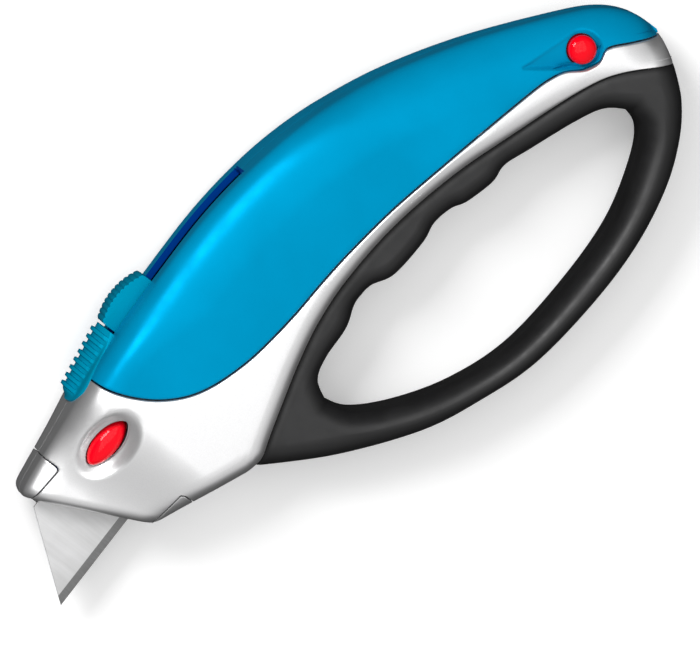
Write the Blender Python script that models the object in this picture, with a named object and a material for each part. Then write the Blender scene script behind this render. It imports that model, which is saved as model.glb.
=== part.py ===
"""Utility knife with a closed finger loop, a sliding trapezoid blade and a hatch over its spare blades.

Design frame, in millimetres: +X runs from the blade tip to the tail, +Y towards the back of the knife,
and +Z out of its left side. The mid-plane of the knife is z = 0 here and lies HALF_WIDTH above the
surface that the knife rests on with its right side.
"""
import math

import bmesh
import bpy
from mathutils import Matrix, Vector

MM = 0.001
MERGE = 0.001 * MM           # points nearer than this are one point

# Driving dimensions, in millimetres
HALF_WIDTH = 13.2            # flat pad of the right side to the mid-plane
SIDE_HALF = 13.6             # crown of the left side to the mid-plane
NOSE_HALF = 8.4              # half thickness of the metal nose
TAIL_HALF = 9.2              # half thickness at the tail
LOOP_HALF = 9.3              # half thickness of the finger loop
SPINE_HALF = 7.0             # half width of the flat back
WALL = 1.8                   # wall of the shells
GAP = 0.15                   # each side of a seam between two shells
SEAT = 0.3                   # room between a piece and the piece it rests on

BLADE_TIP = (-92.7, 9.5)
BLADE_LENGTH = 61.0
BLADE_HEIGHT = 19.0
BLADE_THICK = 0.6
BLADE_RUN = 14.0             # how far the sloped end runs along the edge
NOTCH_RADIUS = 1.6
NOTCH_SPACING = 9.0
EDGE_HALF = 0.1              # half thickness that is left at the cutting edge

FRONT_BUTTON = (-57.4, 26.9)
FRONT_BUTTON_SIZE = (12.2, 6.6)
BUTTON_HOLE, BUTTON_FLANGE = (12.8, 7.2), (14.0, 8.2)
BUTTON_NARROW, FLANGE_NARROW = 0.25, 0.15
BUTTON_LEVELS, FLANGE_LEVELS = (5.0, 8.6, 11.6), (4.4, 5.4)
RELEASE_COIL = (1.6, 4.1, 1.7, 0.22, 3.5)       # low, high, radius, wire radius, turns
STORE_COIL = (1.75, 4.0, 2.8, 0.25, 3.0)
STORE_BUTTON = (78.2, -4.4)
STORE_BUTTON_RADIUS = 3.5

FRONT_DISH = ((17.0, 11.0), 0.9)   # size and depth of the recess round the front button
TAIL_DISH = ((8.8, 8.8), 1.2)      # size and depth of the recess round the tail button
DISH_NARROW = 0.12

SLOT = (-46.0, 9.4, 3.8)     # front, rear and half width of the slot in the back
SLOT_FLOOR = 30.0            # the cutters of the back start here, well inside the shell
STORE_CORNER = (8.6, 12.4)   # lower front corner of the stack of spare blades
STORE_ANGLE = math.radians(-17.0)
STORE_ROOM = 0.8
SPARE_BLADES = 4
SPARE_PITCH = 1.0
SPARE_LOWEST = -1.8

KNOB_FRONT, KNOB_REAR = -36.4, -22.3
KNOB_BASE, KNOB_EDGE, KNOB_TOP = 39.0, 41.6, 44.3
KNOB_HALF = 3.55
KNOB_SCALLOPS, SCALLOP_DEPTH = 11, 0.28

# Thumb rest: half width at each station, height of its arch, and its ribs
REST_ACROSS = (0, 0.3, 0.5, 0.62, 0.82, 1)      # shares of the rest's half width
REST_TIP_START = -53.2
RIB_FOOT, RIB_FACE = 0.29, 0.22                 # shares of the pitch, from a rib's middle
REST_EDGE = [(-37.0, 5.2), (-42.0, 6.6), (-47.5, 8.5), (-50.0, 9.0), (-52.0, 8.4), (-53.8, 6.0), (-55.0, 2.2)]
REST_CROWN, REST_CROWN_X, REST_SLOPE, REST_TIP_DROP = 42.65, -38.5, 0.168, 1.4
REST_ARCH, REST_ARCH_HALF = 2.7, 5.0
REST_RIBS, RIB_FIRST, RIB_PITCH, RIB_HEIGHT = 8, -38.8, 1.95, 0.55
REST_LIP = 0.55

# Boxes in the knife, each as its low and its high corner
HOOK_LIP = ((-50.55, 29.5, 8.8), (-43.0, 33.3, 9.9))
HOOK_NECK = ((-44.2, 29.8, 9.3), (-43.3, 33.2, 12.4))
REST_SLOT = ((-50.5, SLOT_FLOOR, -2.4), (-45.0, 60.0, 2.4))
REST_KEEL = ((-49.2, 34.3, -2.0), (-38.4, 40.2, 2.0))
KNOB_STEM = ((-34.0, 34.4, -2.4), (-25.0, 41.0, 2.4))
CARRIAGE_PLATE = ((-57.0, 9.4, -3.1), (-21.6, 30.0, -0.7))
CARRIAGE_BACK = ((-69.6, 27.2, -2.9), (-21.9, 30.7, -0.75))
CARRIAGE_RAIL = ((-69.3, 29.3, -2.6), (-22.3, 30.4, 2.6))
CARRIAGE_HEEL = ((-30.0, 9.7, -2.8), (-22.0, 30.2, 2.3))
CARRIAGE_TOWER = ((-36.0, 28.7, -2.4), (-22.6, 32.6, 2.4))
GUIDE_LINK = ((-74.6, 29.8, -2.8), (-71.3, 33.0, 2.8))
TAB_LINK = ((-63.4, 4.0, -2.8), (-61.6, 9.0, 2.8))
BLADE_SLIT = ((-100.0, 8.9, -0.6), (-50.0, 29.1, 0.6))
NOSE_MOUTH = ((-100.0, 5.0, -3.4), (-59.0, 31.2, 3.4))
CHASSIS_REACH = ((-54.5, -40.0, -20.0), (70.3, 60.0, 20.0))
SLIDE_CHANNEL = ((-60.0, 8.2, -3.5), (7.6, 33.6, 6.0))
STEM_WAY = ((-60.0, 33.0, -3.0), (6.8, 60.0, 6.0))

# Other outlines and levels of the inner pieces
CAP = [(-84.0, 31.35), (-68.15, 31.0), (-68.5, 45.0), (-84.0, 45.0)]
TAB = [(-64.2, 6.1), (-55.6, 4.8), (-55.7, -6.0), (-70.0, -6.0), (-70.0, 6.4)]
GUIDE_CORE = [(-75.4, 30.6), (-71.0, 30.4), (-61.4, 8.0), (-65.6, 7.7)]
GUIDE_HALF = 3.0
CLIP = [(-55.0, 12.0), (-32.0, 12.0), (-32.0, 27.3), (-66.0, 27.3), (-66.0, 23.0), (-55.0, 23.0)]
CLIP_LEVELS = (0.7, 1.2)
CHASSIS_LEVELS = (-5.0, 4.0)
PEG_RADIUS, PEG_LEVELS = 1.1, (-2.0, 1.3)
LEAF_FRONT, LEAF_LENGTH, LEAF_FOOT, LEAF_RISE, LEAF_THICK, LEAF_HALF = -33.0, 7.0, 33.0, 0.9, 0.35, 2.0
CUP_RADIUS, CUP_WALL = 4.5, 0.45
CATCH = [(5.6, -6.0), (8.4, -6.0), (8.4, -3.0), (5.6, -3.0)]
CATCH_LEVELS = (-5.0, 3.6)
SCREW_HEAD, SCREW_SHANK, SCREW_POST = 2.1, 1.0, 2.6
SCREW_DRIVE, BORE_ROOM = 0.9, 0.2

CENTRE_SHIFT = (0.05, 0.21)  # moves the design frame so that the box of the knife is centred
FAR = 200.0                  # cutters of open spaces reach this far

SCREWS = {
    "case_screw_belly": (-47.5, 3.6),
    "case_screw_middle": (-20.0, 5.0),
    "case_screw_back": (13.0, 32.0),
    "case_screw_tail": (84.0, -16.0),
}

# Outlines in plan, in millimetres
NOSE_BACK = [(-78.1, 32.8), (-76.6, 34.2), (-71.6, 35.1), (-61.4, 36.4), (-48.0, 38.4)]
BLUE_BACK = [(-36.0, 39.4), (-21.8, 39.9), (-4.6, 40.0), (9.5, 38.7), (22.2, 36.2), (33.8, 32.5),
             (47.5, 26.3), (64.5, 15.8), (81.7, 2.6), (88.6, -4.0), (92.0, -10.4), (92.6, -17.2)]
BELLY = [(-65.1, 5.4), (-56.0, 1.7), (-40.7, -5.0)]
GRIP_LINE = [(-40.7, -5.0), (-34.8, -2.6), (-24.7, 0.6), (-16.1, 3.1), (-6.2, 5.2), (5.5, 6.0),
             (21.1, 4.9), (37.7, 1.4), (52.8, -3.6), (70.7, -10.2), (79.5, -15.2), (88.8, -24.4)]
SEAM = [(-48.0, 38.2), (-47.4, 34.5), (-42.6, 25.0), (-37.8, 19.4), (-32.8, 16.4), (-26.7, 14.2),
        (-19.7, 12.6), (-9.2, 11.4), (0.9, 10.9), (10.5, 10.1), (24.2, 8.2), (40.5, 4.7),
        (52.9, 1.7), (64.4, -1.3), (68.9, -2.9), (72.0, -4.7), (75.0, -8.0), (78.3, -9.6),
        (81.9, -9.3), (86.4, -13.2), (91.2, -17.8)]
BOW = [(88.8, -24.9), (83.6, -31.5), (76.1, -37.0), (65.5, -41.5), (51.3, -44.3), (35.1, -44.6),
       (16.3, -42.5), (1.8, -37.6), (-11.8, -31.0), (-27.9, -18.6), (-40.7, -5.6)]
FINGER_SIDE = [(-19.6, -9.0), (-17.0, -4.4), (-12.0, -2.7), (-3.9, -2.2), (1.0, -0.5), (3.5, -0.2),
               (7.2, -0.7), (12.3, -3.4), (22.0, -4.1), (27.0, -3.4), (31.8, -4.4), (35.3, -6.4),
               (42.3, -8.3), (47.0, -8.1), (52.9, -10.3), (65.0, -15.1), (71.1, -18.6), (74.4, -23.6)]
BOW_SIDE = [(74.4, -23.6), (72.8, -28.6), (66.3, -32.6), (52.4, -36.8), (35.6, -37.7), (16.5, -36.1),
            (1.9, -30.9), (-9.9, -23.3), (-17.6, -15.6), (-19.6, -9.0)]


# ---------------------------------------------------------------- curves in plan

def spline(points, pieces=6):
    """A Catmull-Rom curve through the points."""
    ends = [points[0]] + list(points) + [points[-1]]
    result = []
    for i in range(1, len(ends) - 2):
        p0, p1, p2, p3 = (Vector(p) for p in ends[i - 1:i + 3])
        for k in range(pieces):
            t = k / pieces
            a = 2 * p1
            b = (p2 - p0) * t
            c = (2 * p0 - 5 * p1 + 4 * p2 - p3) * t * t
            d = (3 * p1 - p0 - 3 * p2 + p3) * t ** 3
            result.append((a + b + c + d) / 2)
    result.append(Vector(points[-1]))
    return result


def resample(path, count):
    """The same path as count + 1 points at equal steps of its length."""
    lengths = [0.0]
    for a, b in zip(path, path[1:]):
        lengths.append(lengths[-1] + (b - a).length)
    result = []
    j = 0
    for i in range(count + 1):
        target = lengths[-1] * i / count
        while j < len(path) - 2 and lengths[j + 1] < target:
            j += 1
        span = max(lengths[j + 1] - lengths[j], 1e-9)
        result.append(path[j].lerp(path[j + 1], min(1.0, (target - lengths[j]) / span)))
    return result


def shifted(path, distance):
    """The path moved to its left by a distance."""
    result = []
    for i, p in enumerate(path):
        tangent = path[min(i + 1, len(path) - 1)] - path[max(i - 1, 0)]
        result.append(p + Vector((-tangent.y, tangent.x)).normalized() * distance)
    return result


def distance_to(path, p):
    """Shortest distance in plan from a point to a path."""
    best = 1e9
    for a, b in zip(path, path[1:]):
        ab = b - a
        t = max(0.0, min(1.0, (p - a).dot(ab) / max(ab.length_squared, 1e-12)))
        best = min(best, (p - a - ab * t).length)
    return best


def smooth_step(low, high, x):
    t = max(0.0, min(1.0, (x - low) / (high - low)))
    return t * t * (3 - 2 * t)


BACK_PATH = spline(NOSE_BACK + BLUE_BACK, 4)
TAIL_PATH = [Vector((92.6, -17.2)), Vector((91.9, -20.0)), Vector((88.8, -24.4))]
BELLY_PATH = spline(BELLY, 4)
GRIP_PATH = spline(GRIP_LINE, 4)
FRONT_PATH = [Vector(BELLY[0]), Vector(NOSE_BACK[0])]
# The seam starts with straight stretches beside the hinge line of the left cover
SEAM_PATH = [Vector(SEAM[0])] + spline(SEAM[1:3], 1) + spline(SEAM[2:], 2)[1:]
BOW_PATH = spline(BOW, 4)
FINGER_PATH = spline(FINGER_SIDE, 3)
BOW_SIDE_PATH = spline(BOW_SIDE, 4)


# ---------------------------------------------------------------- half thickness of the body and loop

def rounding(distance, radius):
    """0 at an edge, 1 from the given radius inwards, along a quarter ellipse."""
    t = 1 - min(1.0, max(0.0, distance / radius))
    return math.sqrt(max(0.0, 1 - t * t))


def crown(x):
    """Half thickness of the flat of the side at a station x."""
    front = NOSE_HALF + (SIDE_HALF - NOSE_HALF) * smooth_step(-70, -49, x)
    return front - (SIDE_HALF - TAIL_HALF) * smooth_step(30, 94, x)


def body_half(p):
    """Half thickness of the body at a plan point."""
    top = crown(p.x)
    spine = SPINE_HALF - 2.0 * smooth_step(-50, -75, p.x) - 3.5 * smooth_step(50, 92, p.x)
    shoulder = 6.0 + 7.5 * smooth_step(-44, -15, p.x) - 3.0 * smooth_step(50, 92, p.x)
    half = top
    half -= (top - spine) * (1 - rounding(distance_to(BACK_PATH, p), shoulder))
    half -= (top - 3.5) * (1 - rounding(distance_to(TAIL_PATH, p), 7.0))
    half -= (top - 4.0) * (1 - rounding(distance_to(BELLY_PATH, p), 7.0))
    half -= (top - LOOP_HALF - 0.2) * (1 - rounding(distance_to(GRIP_PATH, p), 5.0))
    half -= 2.5 * (1 - rounding(distance_to(FRONT_PATH, p), 2.5))
    return max(half, 2.5)


def loop_half(p):
    """Half thickness of the finger loop at a plan point."""
    half = LOOP_HALF
    half -= 1.6 * (1 - rounding(distance_to(GRIP_PATH, p), 2.0))
    half -= 6.0 * (1 - rounding(distance_to(BOW_PATH, p), 5.5))
    inner = min(distance_to(FINGER_PATH, p), distance_to(BOW_SIDE_PATH, p))
    half -= 5.5 * (1 - rounding(inner, 4.5))
    return max(half, 2.0)


# ---------------------------------------------------------------- mesh helpers

def new_object(name, bm, collection):
    bmesh.ops.recalc_face_normals(bm, faces=bm.faces)
    mesh = bpy.data.meshes.new(name)
    bm.to_mesh(mesh)
    bm.free()
    mesh.transform(Matrix.Scale(MM, 4))
    obj = bpy.data.objects.new(name, mesh)
    collection.objects.link(obj)
    obj.parent = MIDPLANE
    return obj


def slab(name, outline, low, high, collection=None):
    """An outline in plan, extruded from z = low to z = high."""
    bm = bmesh.new()
    bottom = [bm.verts.new((p[0], p[1], low)) for p in outline]
    top = [bm.verts.new((p[0], p[1], high)) for p in outline]
    bm.faces.new(bottom)
    bm.faces.new(top)
    for i in range(len(outline)):
        j = (i + 1) % len(outline)
        bm.faces.new((bottom[i], bottom[j], top[j], top[i]))
    return new_object(name, bm, collection or CUTTERS)


def box(name, low, high, collection=None, turn=0.0, about=(0, 0)):
    """A box between two corners, turned in plan about a point."""
    bm = bmesh.new()
    bmesh.ops.create_cube(bm, size=1.0)
    size = [high[i] - low[i] for i in range(3)]
    centre = [(high[i] + low[i]) / 2 for i in range(3)]
    bmesh.ops.scale(bm, vec=size, verts=bm.verts)
    bmesh.ops.translate(bm, vec=centre, verts=bm.verts)
    if turn:
        bmesh.ops.rotate(bm, cent=(about[0], about[1], 0), verts=bm.verts,
                         matrix=Matrix.Rotation(turn, 3, "Z"))
    return new_object(name, bm, collection or CUTTERS)


def cylinder(name, centre, low, high, radius, collection=None, sides=20):
    """A cylinder along z."""
    bm = bmesh.new()
    bmesh.ops.create_cone(bm, cap_ends=True, segments=sides, radius1=radius, radius2=radius,
                          depth=high - low)
    bmesh.ops.translate(bm, vec=(centre[0], centre[1], (low + high) / 2), verts=bm.verts)
    return new_object(name, bm, collection or CUTTERS)


def oval(centre, size, sharp=0.0, count=24):
    """An oval outline; sharp narrows its two ends towards points."""
    points = []
    for i in range(count):
        angle = 2 * math.pi * i / count
        narrow = 1 - sharp * abs(math.cos(angle)) ** 3
        points.append((centre[0] + size[0] / 2 * math.cos(angle),
                       centre[1] + size[1] / 2 * math.sin(angle) * narrow))
    return points


def dome(name, centre, size, low, edge, crest, sharp=0.0, collection=None):
    """A push button: an oval post from z = low to edge, closed by a dome up to z = crest."""
    bm = bmesh.new()
    rings = [[bm.verts.new((x, y, low)) for x, y in oval(centre, size, sharp)]]
    steps = 4
    for k in range(steps):
        angle = math.pi / 2 * k / steps
        scale = math.cos(angle)
        z = edge + (crest - edge) * math.sin(angle)
        ring_size = (size[0] * scale, size[1] * scale)
        rings.append([bm.verts.new((x, y, z)) for x, y in oval(centre, ring_size, sharp)])
    for a, b in zip(rings, rings[1:]):
        for i in range(len(a)):
            j = (i + 1) % len(a)
            bm.faces.new((a[i], a[j], b[j], b[i]))
    bm.faces.new(rings[0])
    peak = bm.verts.new((centre[0], centre[1], crest))
    last = rings[-1]
    for i in range(len(last)):
        bm.faces.new((last[i], last[(i + 1) % len(last)], peak))
    return new_object(name, bm, collection or CUTTERS)


def pillow(name, rows, left, right):
    """A body with a left face at +left and a right face at -right over a grid of plan points."""
    bm = bmesh.new()
    top = [[bm.verts.new((p.x, p.y, left(p))) for p in row] for row in rows]
    low = [[bm.verts.new((p.x, p.y, -right(p))) for p in row] for row in rows]
    for i in range(len(rows) - 1):
        for j in range(len(rows[0]) - 1):
            for face in (top, low):
                bm.faces.new((face[i][j], face[i + 1][j], face[i + 1][j + 1], face[i][j + 1]))
    last = len(rows) - 1
    edges = [[(i, 0) for i in range(len(rows))], [(i, len(rows[0]) - 1) for i in range(len(rows))]]
    edges += [[(0, j) for j in range(len(rows[0]))], [(last, j) for j in range(len(rows[0]))]]
    for edge in edges:
        for (i, j), (k, l) in zip(edge, edge[1:]):
            bm.faces.new((top[i][j], top[k][l], low[k][l], low[i][j]))
    return new_object(name, bm, CUTTERS)


def ring_pillow(name, outer, inner, across, half):
    """A closed ring between two matched closed paths, with faces at +half and -half."""
    bm = bmesh.new()
    top, low = [], []
    for a, b in zip(outer, inner):
        row = [a.lerp(b, t) for t in across]
        top.append([bm.verts.new((p.x, p.y, half(p))) for p in row])
        low.append([bm.verts.new((p.x, p.y, -half(p))) for p in row])
    count = len(top)
    width = len(across)
    for i in range(count):
        k = (i + 1) % count
        for j in range(width - 1):
            for face in (top, low):
                bm.faces.new((face[i][j], face[k][j], face[k][j + 1], face[i][j + 1]))
        for j in (0, width - 1):
            bm.faces.new((top[i][j], top[k][j], low[k][j], low[i][j]))
    return new_object(name, bm, CUTTERS)


def combine(target, operation, *tools):
    """Apply Boolean modifiers to the target, one for each tool."""
    for tool in tools:
        modifier = target.modifiers.new(operation.lower(), "BOOLEAN")
        modifier.operation = operation
        modifier.solver = "EXACT"
        modifier.object = tool
    bpy.context.view_layer.update()
    evaluated = target.evaluated_get(bpy.context.evaluated_depsgraph_get())
    mesh = bpy.data.meshes.new_from_object(evaluated)
    target.modifiers.clear()
    bm = bmesh.new()
    bm.from_mesh(mesh)
    bmesh.ops.remove_doubles(bm, verts=bm.verts, dist=MERGE)
    bmesh.ops.dissolve_degenerate(bm, edges=bm.edges, dist=MERGE)
    bm.to_mesh(mesh)
    bm.free()
    target.data = mesh
    return target


def copied(source, name, collection=None):
    obj = source.copy()
    obj.data = source.data.copy()
    obj.name = name
    (collection or PARTS).objects.link(obj)
    return obj


def coil(name, centre, low, high, radius, wire, turns):
    """A compression spring along z."""
    steps = 8
    curve = bpy.data.curves.new(name, "CURVE")
    curve.dimensions = "3D"
    path = curve.splines.new("POLY")
    count = int(turns * steps) + 1
    path.points.add(count - 1)
    for i in range(count):
        angle = 2 * math.pi * i / steps
        z = low + wire + (high - low - 2 * wire) * i / (count - 1)
        x = centre[0] + radius * math.cos(angle)
        y = centre[1] + radius * math.sin(angle)
        path.points[i].co = (x * MM, y * MM, z * MM, 1)
    curve.bevel_depth = wire * MM
    curve.bevel_resolution = 2
    curve.use_fill_caps = True
    obj = bpy.data.objects.new(name, curve)
    PARTS.objects.link(obj)
    obj.parent = MIDPLANE
    return obj


def material(obj, name, colour, roughness, metallic=0.0):
    mat = bpy.data.materials.new(name)
    mat.use_nodes = True
    shader = mat.node_tree.nodes["Principled BSDF"]
    shader.inputs["Base Color"].default_value = (*colour, 1)
    shader.inputs["Roughness"].default_value = roughness
    shader.inputs["Metallic"].default_value = metallic
    obj.data.materials.clear()
    obj.data.materials.append(mat)
    return obj


def silver(obj):
    return material(obj, obj.name + "_silver", (0.62, 0.63, 0.65), 0.32, 0.6)


def blue(obj):
    return material(obj, obj.name + "_blue", (0.0, 0.33, 0.60), 0.25)


def black(obj):
    return material(obj, obj.name + "_black", (0.02, 0.02, 0.022), 0.55)


def red(obj):
    return material(obj, obj.name + "_red", (0.85, 0.01, 0.03), 0.2)


def steel(obj):
    return material(obj, obj.name + "_steel", (0.55, 0.55, 0.56), 0.3, 1.0)


def dark_blue(obj):
    return material(obj, obj.name + "_dark_blue", (0.0, 0.06, 0.28), 0.4)


# ---------------------------------------------------------------- master forms

STATIONS = 34
ACROSS = [0, 0.06, 0.16, 0.45, 0.64, 0.78, 0.89, 0.96, 1]


def body_rows(inset, stations=STATIONS):
    """Plan points of the body, from the front edge to the tail, inset from its outline."""
    lower = resample(shifted(BELLY_PATH + GRIP_PATH[1:], inset), stations)
    upper = resample(shifted(BACK_PATH, -inset), stations)
    rows = []
    for i in range(stations + 1):
        along = i / stations
        # The first and last stations move in from the front edge and the tail by the inset
        start = Vector((inset * max(0.0, 1 - along * 8), 0))
        end = Vector((-inset * 1.3 * max(0.0, along * 8 - 7), 0))
        rows.append([lower[i].lerp(upper[i], t) + start + end for t in ACROSS])
    return rows


def right_half(p):
    return min(body_half(p), HALF_WIDTH)


def full_body(name, inset=0.0, thinner=0.0):
    return pillow(name, body_rows(inset), lambda p: max(1.0, body_half(p) - thinner),
                  lambda p: max(1.0, right_half(p) - thinner))


def seam_outline(shift):
    """The region of the two covers in plan, grown by a shift across the seam."""
    path = shifted(SEAM_PATH, -shift)
    corner = Vector((path[0].x, 60.0))
    return [corner] + path + [Vector((112.0, -25.0)), Vector((112.0, 60.0))]


def loop_paths(inset):
    """Matched outer and inner paths round the finger loop."""
    top = shifted(GRIP_PATH, -(SEAT + inset))
    bow = shifted(BOW_PATH, -inset)
    finger = shifted(FINGER_PATH, inset)
    inner_bow = shifted(BOW_SIDE_PATH, inset)
    outer = resample(top, 32)[:-1] + resample(bow, 18)[:-1]
    inner = resample(finger, 32)[:-1] + resample(inner_bow, 18)[:-1]
    return outer, inner


def loop_body(name, inset=0.0, thinner=0.0, least=1.2):
    outer, inner = loop_paths(inset)
    across = [0, 0.1, 0.3, 0.6, 0.85, 1] if not inset else [0, 0.5, 1]
    return ring_pillow(name, outer, inner, across, lambda p: max(least, loop_half(p) - thinner))


# ---------------------------------------------------------------- shells

def shell_halves():
    """The two silver halves and the two blue covers, cut from one hollow body."""
    outer = full_body("body_form")
    hollow = full_body("body_hollow", WALL, WALL)
    left = box("left_space", (-FAR, -FAR, GAP), (FAR, FAR, FAR))
    right = box("right_space", (-FAR, -FAR, -FAR), (FAR, FAR, -GAP))
    inside_seam = slab("cover_region", seam_outline(-GAP), -FAR, FAR)
    past_seam = slab("cover_opening", seam_outline(GAP), -FAR, FAR)
    shells = {}
    for side, space in (("left", left), ("right", right)):
        half = copied(outer, "half_" + side, CUTTERS)
        combine(half, "INTERSECT", space)
        combine(half, "DIFFERENCE", hollow)
        shells["cover_" + side] = combine(copied(half, "cover_" + side), "INTERSECT", inside_seam)
        shells["body_" + side] = combine(copied(half, "body_" + side), "DIFFERENCE", past_seam)
    return shells


def cut_slot(shells):
    """The slot for the thumb slide, shared by the two covers."""
    front, rear, half = SLOT
    slot = box("back_slot", (front - 6, SLOT_FLOOR, -half), (rear, 60, half))
    seat = box("rest_slot", *REST_SLOT)
    for side in ("left", "right"):
        combine(shells["cover_" + side], "DIFFERENCE", slot)
        combine(shells["body_" + side], "DIFFERENCE", seat)


def hook_tongue(cover):
    """The tongue of the left cover that hooks under the edge of the body, ahead of its hinge line."""
    combine(cover, "UNION", box("hook_lip", *HOOK_LIP), box("hook_neck", *HOOK_NECK))


# ---------------------------------------------------------------- nose

def nose_guide(shells):
    """The metal insert in the nose: top cap, lower tab and the block that guides the blade."""
    guide = copied(bpy.data.objects["body_form"], "nose_guide")
    cap = slab("cap_region", CAP, -20, 20)
    core = slab("guide_core", GUIDE_CORE, -GUIDE_HALF, GUIDE_HALF)
    combine(cap, "UNION", slab("tab_region", TAB, -20, 20))
    combine(guide, "INTERSECT", cap)
    combine(guide, "UNION", core, box("guide_link", *GUIDE_LINK), box("tab_link", *TAB_LINK))
    combine(guide, "DIFFERENCE", box("blade_slit", *BLADE_SLIT))
    cap_cut = slab("cap_opening", [(-90, CAP[0][1] - SEAT), (CAP[1][0] + SEAT, CAP[1][1] - SEAT),
                                   (CAP[2][0] + SEAT, 50), (-90, 50)], -20, 20)
    tab_cut = slab("tab_opening", [(TAB[0][0] - SEAT, TAB[0][1] + SEAT), (TAB[1][0] + SEAT, TAB[1][1] + SEAT),
                                   (TAB[2][0] + SEAT, -8), (-72, -8), (-72, TAB[4][1] + 0.5)], -20, 20)
    mouth = box("nose_mouth", *NOSE_MOUTH)
    for name in ("body_left", "body_right"):
        combine(shells[name], "DIFFERENCE", cap_cut, tab_cut, mouth)
    return silver(guide)


# ---------------------------------------------------------------- inside

def chassis():
    """The moulded frame that carries the slide and the stack of spare blades."""
    rows = body_rows(WALL + 0.5)
    outline = [row[0] for row in rows] + [row[-1] for row in reversed(rows)]
    frame = slab("chassis", outline, *CHASSIS_LEVELS, PARTS)
    combine(frame, "INTERSECT", box("chassis_reach", *CHASSIS_REACH))
    x, y = STORE_CORNER
    store = box("store_pocket", (x - STORE_ROOM, y - STORE_ROOM, SPARE_LOWEST - 0.6),
                (x + BLADE_LENGTH + STORE_ROOM, y + BLADE_HEIGHT + STORE_ROOM, 6),
                turn=STORE_ANGLE, about=STORE_CORNER)
    combine(frame, "DIFFERENCE", box("slide_channel", *SLIDE_CHANNEL), box("stem_way", *STEM_WAY), store)
    return dark_blue(frame)


def blade_outline(corner):
    """A trapezoid blade with two notches in its back; the corner is the front end of its edge."""
    x, y = corner
    points = [(x, y), (x + BLADE_LENGTH, y), (x + BLADE_LENGTH - BLADE_RUN, y + BLADE_HEIGHT)]
    middle = x + BLADE_LENGTH / 2
    for centre in (middle + NOTCH_SPACING / 2, middle - NOTCH_SPACING / 2):
        for k in range(7):
            angle = -math.pi * k / 6
            points.append((centre + NOTCH_RADIUS * math.cos(angle),
                           y + BLADE_HEIGHT + NOTCH_RADIUS * math.sin(angle)))
    points.append((x + BLADE_RUN, y + BLADE_HEIGHT))
    return points


def blade(name, corner, z, turn=0.0):
    """A blade with its cutting bevel."""
    obj = slab(name, blade_outline(corner), z - BLADE_THICK / 2, z + BLADE_THICK / 2, PARTS)
    for vertex in obj.data.vertices:
        if abs(vertex.co.y - corner[1] * MM) < MERGE:
            vertex.co.z = (z + (EDGE_HALF if vertex.co.z > z * MM else -EDGE_HALF)) * MM
    if turn:
        about = Matrix.Translation(Vector((corner[0], corner[1], 0)) * MM)
        obj.data.transform(about @ Matrix.Rotation(turn, 4, "Z") @ about.inverted())
    return steel(obj)


def blade_carriage():
    """The carriage behind the blade, with pegs in its notches and a tower under the thumb slide."""
    carriage = box("blade_carriage", *CARRIAGE_PLATE, PARTS)
    middle = BLADE_TIP[0] + BLADE_LENGTH / 2
    pegs = []
    for side in (-1, 1):
        place = (middle + side * NOTCH_SPACING / 2, BLADE_TIP[1] + BLADE_HEIGHT + 0.3)
        pegs.append(cylinder("notch_peg", place, *PEG_LEVELS, PEG_RADIUS, sides=12))
    combine(carriage, "UNION", box("carriage_back", *CARRIAGE_BACK), box("carriage_rail", *CARRIAGE_RAIL),
            box("carriage_heel", *CARRIAGE_HEEL), box("carriage_tower", *CARRIAGE_TOWER), *pegs)
    return dark_blue(carriage)


def blade_clip():
    """The leaf that holds the blade on the pegs."""
    return steel(slab("blade_clip", CLIP, *CLIP_LEVELS, PARTS))


def knob_outline():
    """Side outline of the thumb slide: an arched top with scallops on a flat foot."""
    points = [(KNOB_REAR, KNOB_BASE), (KNOB_FRONT, KNOB_BASE), (KNOB_FRONT, KNOB_EDGE)]
    steps = 4
    for i in range(KNOB_SCALLOPS):
        for k in range(steps):
            t = (i + k / steps) / KNOB_SCALLOPS
            x = KNOB_FRONT + (KNOB_REAR - KNOB_FRONT) * t
            rise = math.sin(math.pi * min(1, 0.12 + t * 0.88)) ** 0.7
            lobe = SCALLOP_DEPTH * math.sin(math.pi * k / steps)
            points.append((x + 0.05, KNOB_EDGE + (KNOB_TOP - KNOB_EDGE - 0.3) * rise + lobe))
    points.append((KNOB_REAR, KNOB_EDGE - 0.4))
    return points


def thumb_slide():
    """The knob on the back with its stem through the slot."""
    knob = slab("thumb_slide", knob_outline(), -KNOB_HALF, KNOB_HALF, PARTS)
    return blue(combine(knob, "UNION", box("knob_stem", *KNOB_STEM)))


def slide_spring():
    """The leaf that lifts the thumb slide off its catches."""
    points = []
    steps = 8
    for i in range(steps + 1):
        rise = LEAF_RISE * math.sin(math.pi * i / steps)
        points.append((LEAF_FRONT + LEAF_LENGTH * i / steps, LEAF_FOOT + rise))
    points += [(x, y + LEAF_THICK) for x, y in reversed(points)]
    return steel(slab("slide_spring", points, -LEAF_HALF, LEAF_HALF, PARTS))


def back_surface(x, z):
    """Height of the back of the body at a station x and a distance z from the mid-plane."""
    ahead = max(i for i, p in enumerate(BACK_PATH[:-1]) if p.x <= x)
    a, b = BACK_PATH[ahead], BACK_PATH[ahead + 1]
    back = a.y + (b.y - a.y) * (x - a.x) / (b.x - a.x)
    spine = SPINE_HALF - 2.0 * smooth_step(-50, -75, x)
    shoulder = 6.0 + 7.5 * smooth_step(-44, -15, x)
    share = min(1.0, max(0.0, (abs(z) - spine) / (crown(x) - spine)))
    return back - shoulder * (1 - math.sqrt(1 - share * share))


def rest_half(x):
    """Half width of the thumb rest at a station x."""
    for (x1, w1), (x2, w2) in zip(REST_EDGE, REST_EDGE[1:]):
        if x >= x2:
            return w1 + (w2 - w1) * (x1 - x) / (x1 - x2)
    return REST_EDGE[-1][1]


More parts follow.
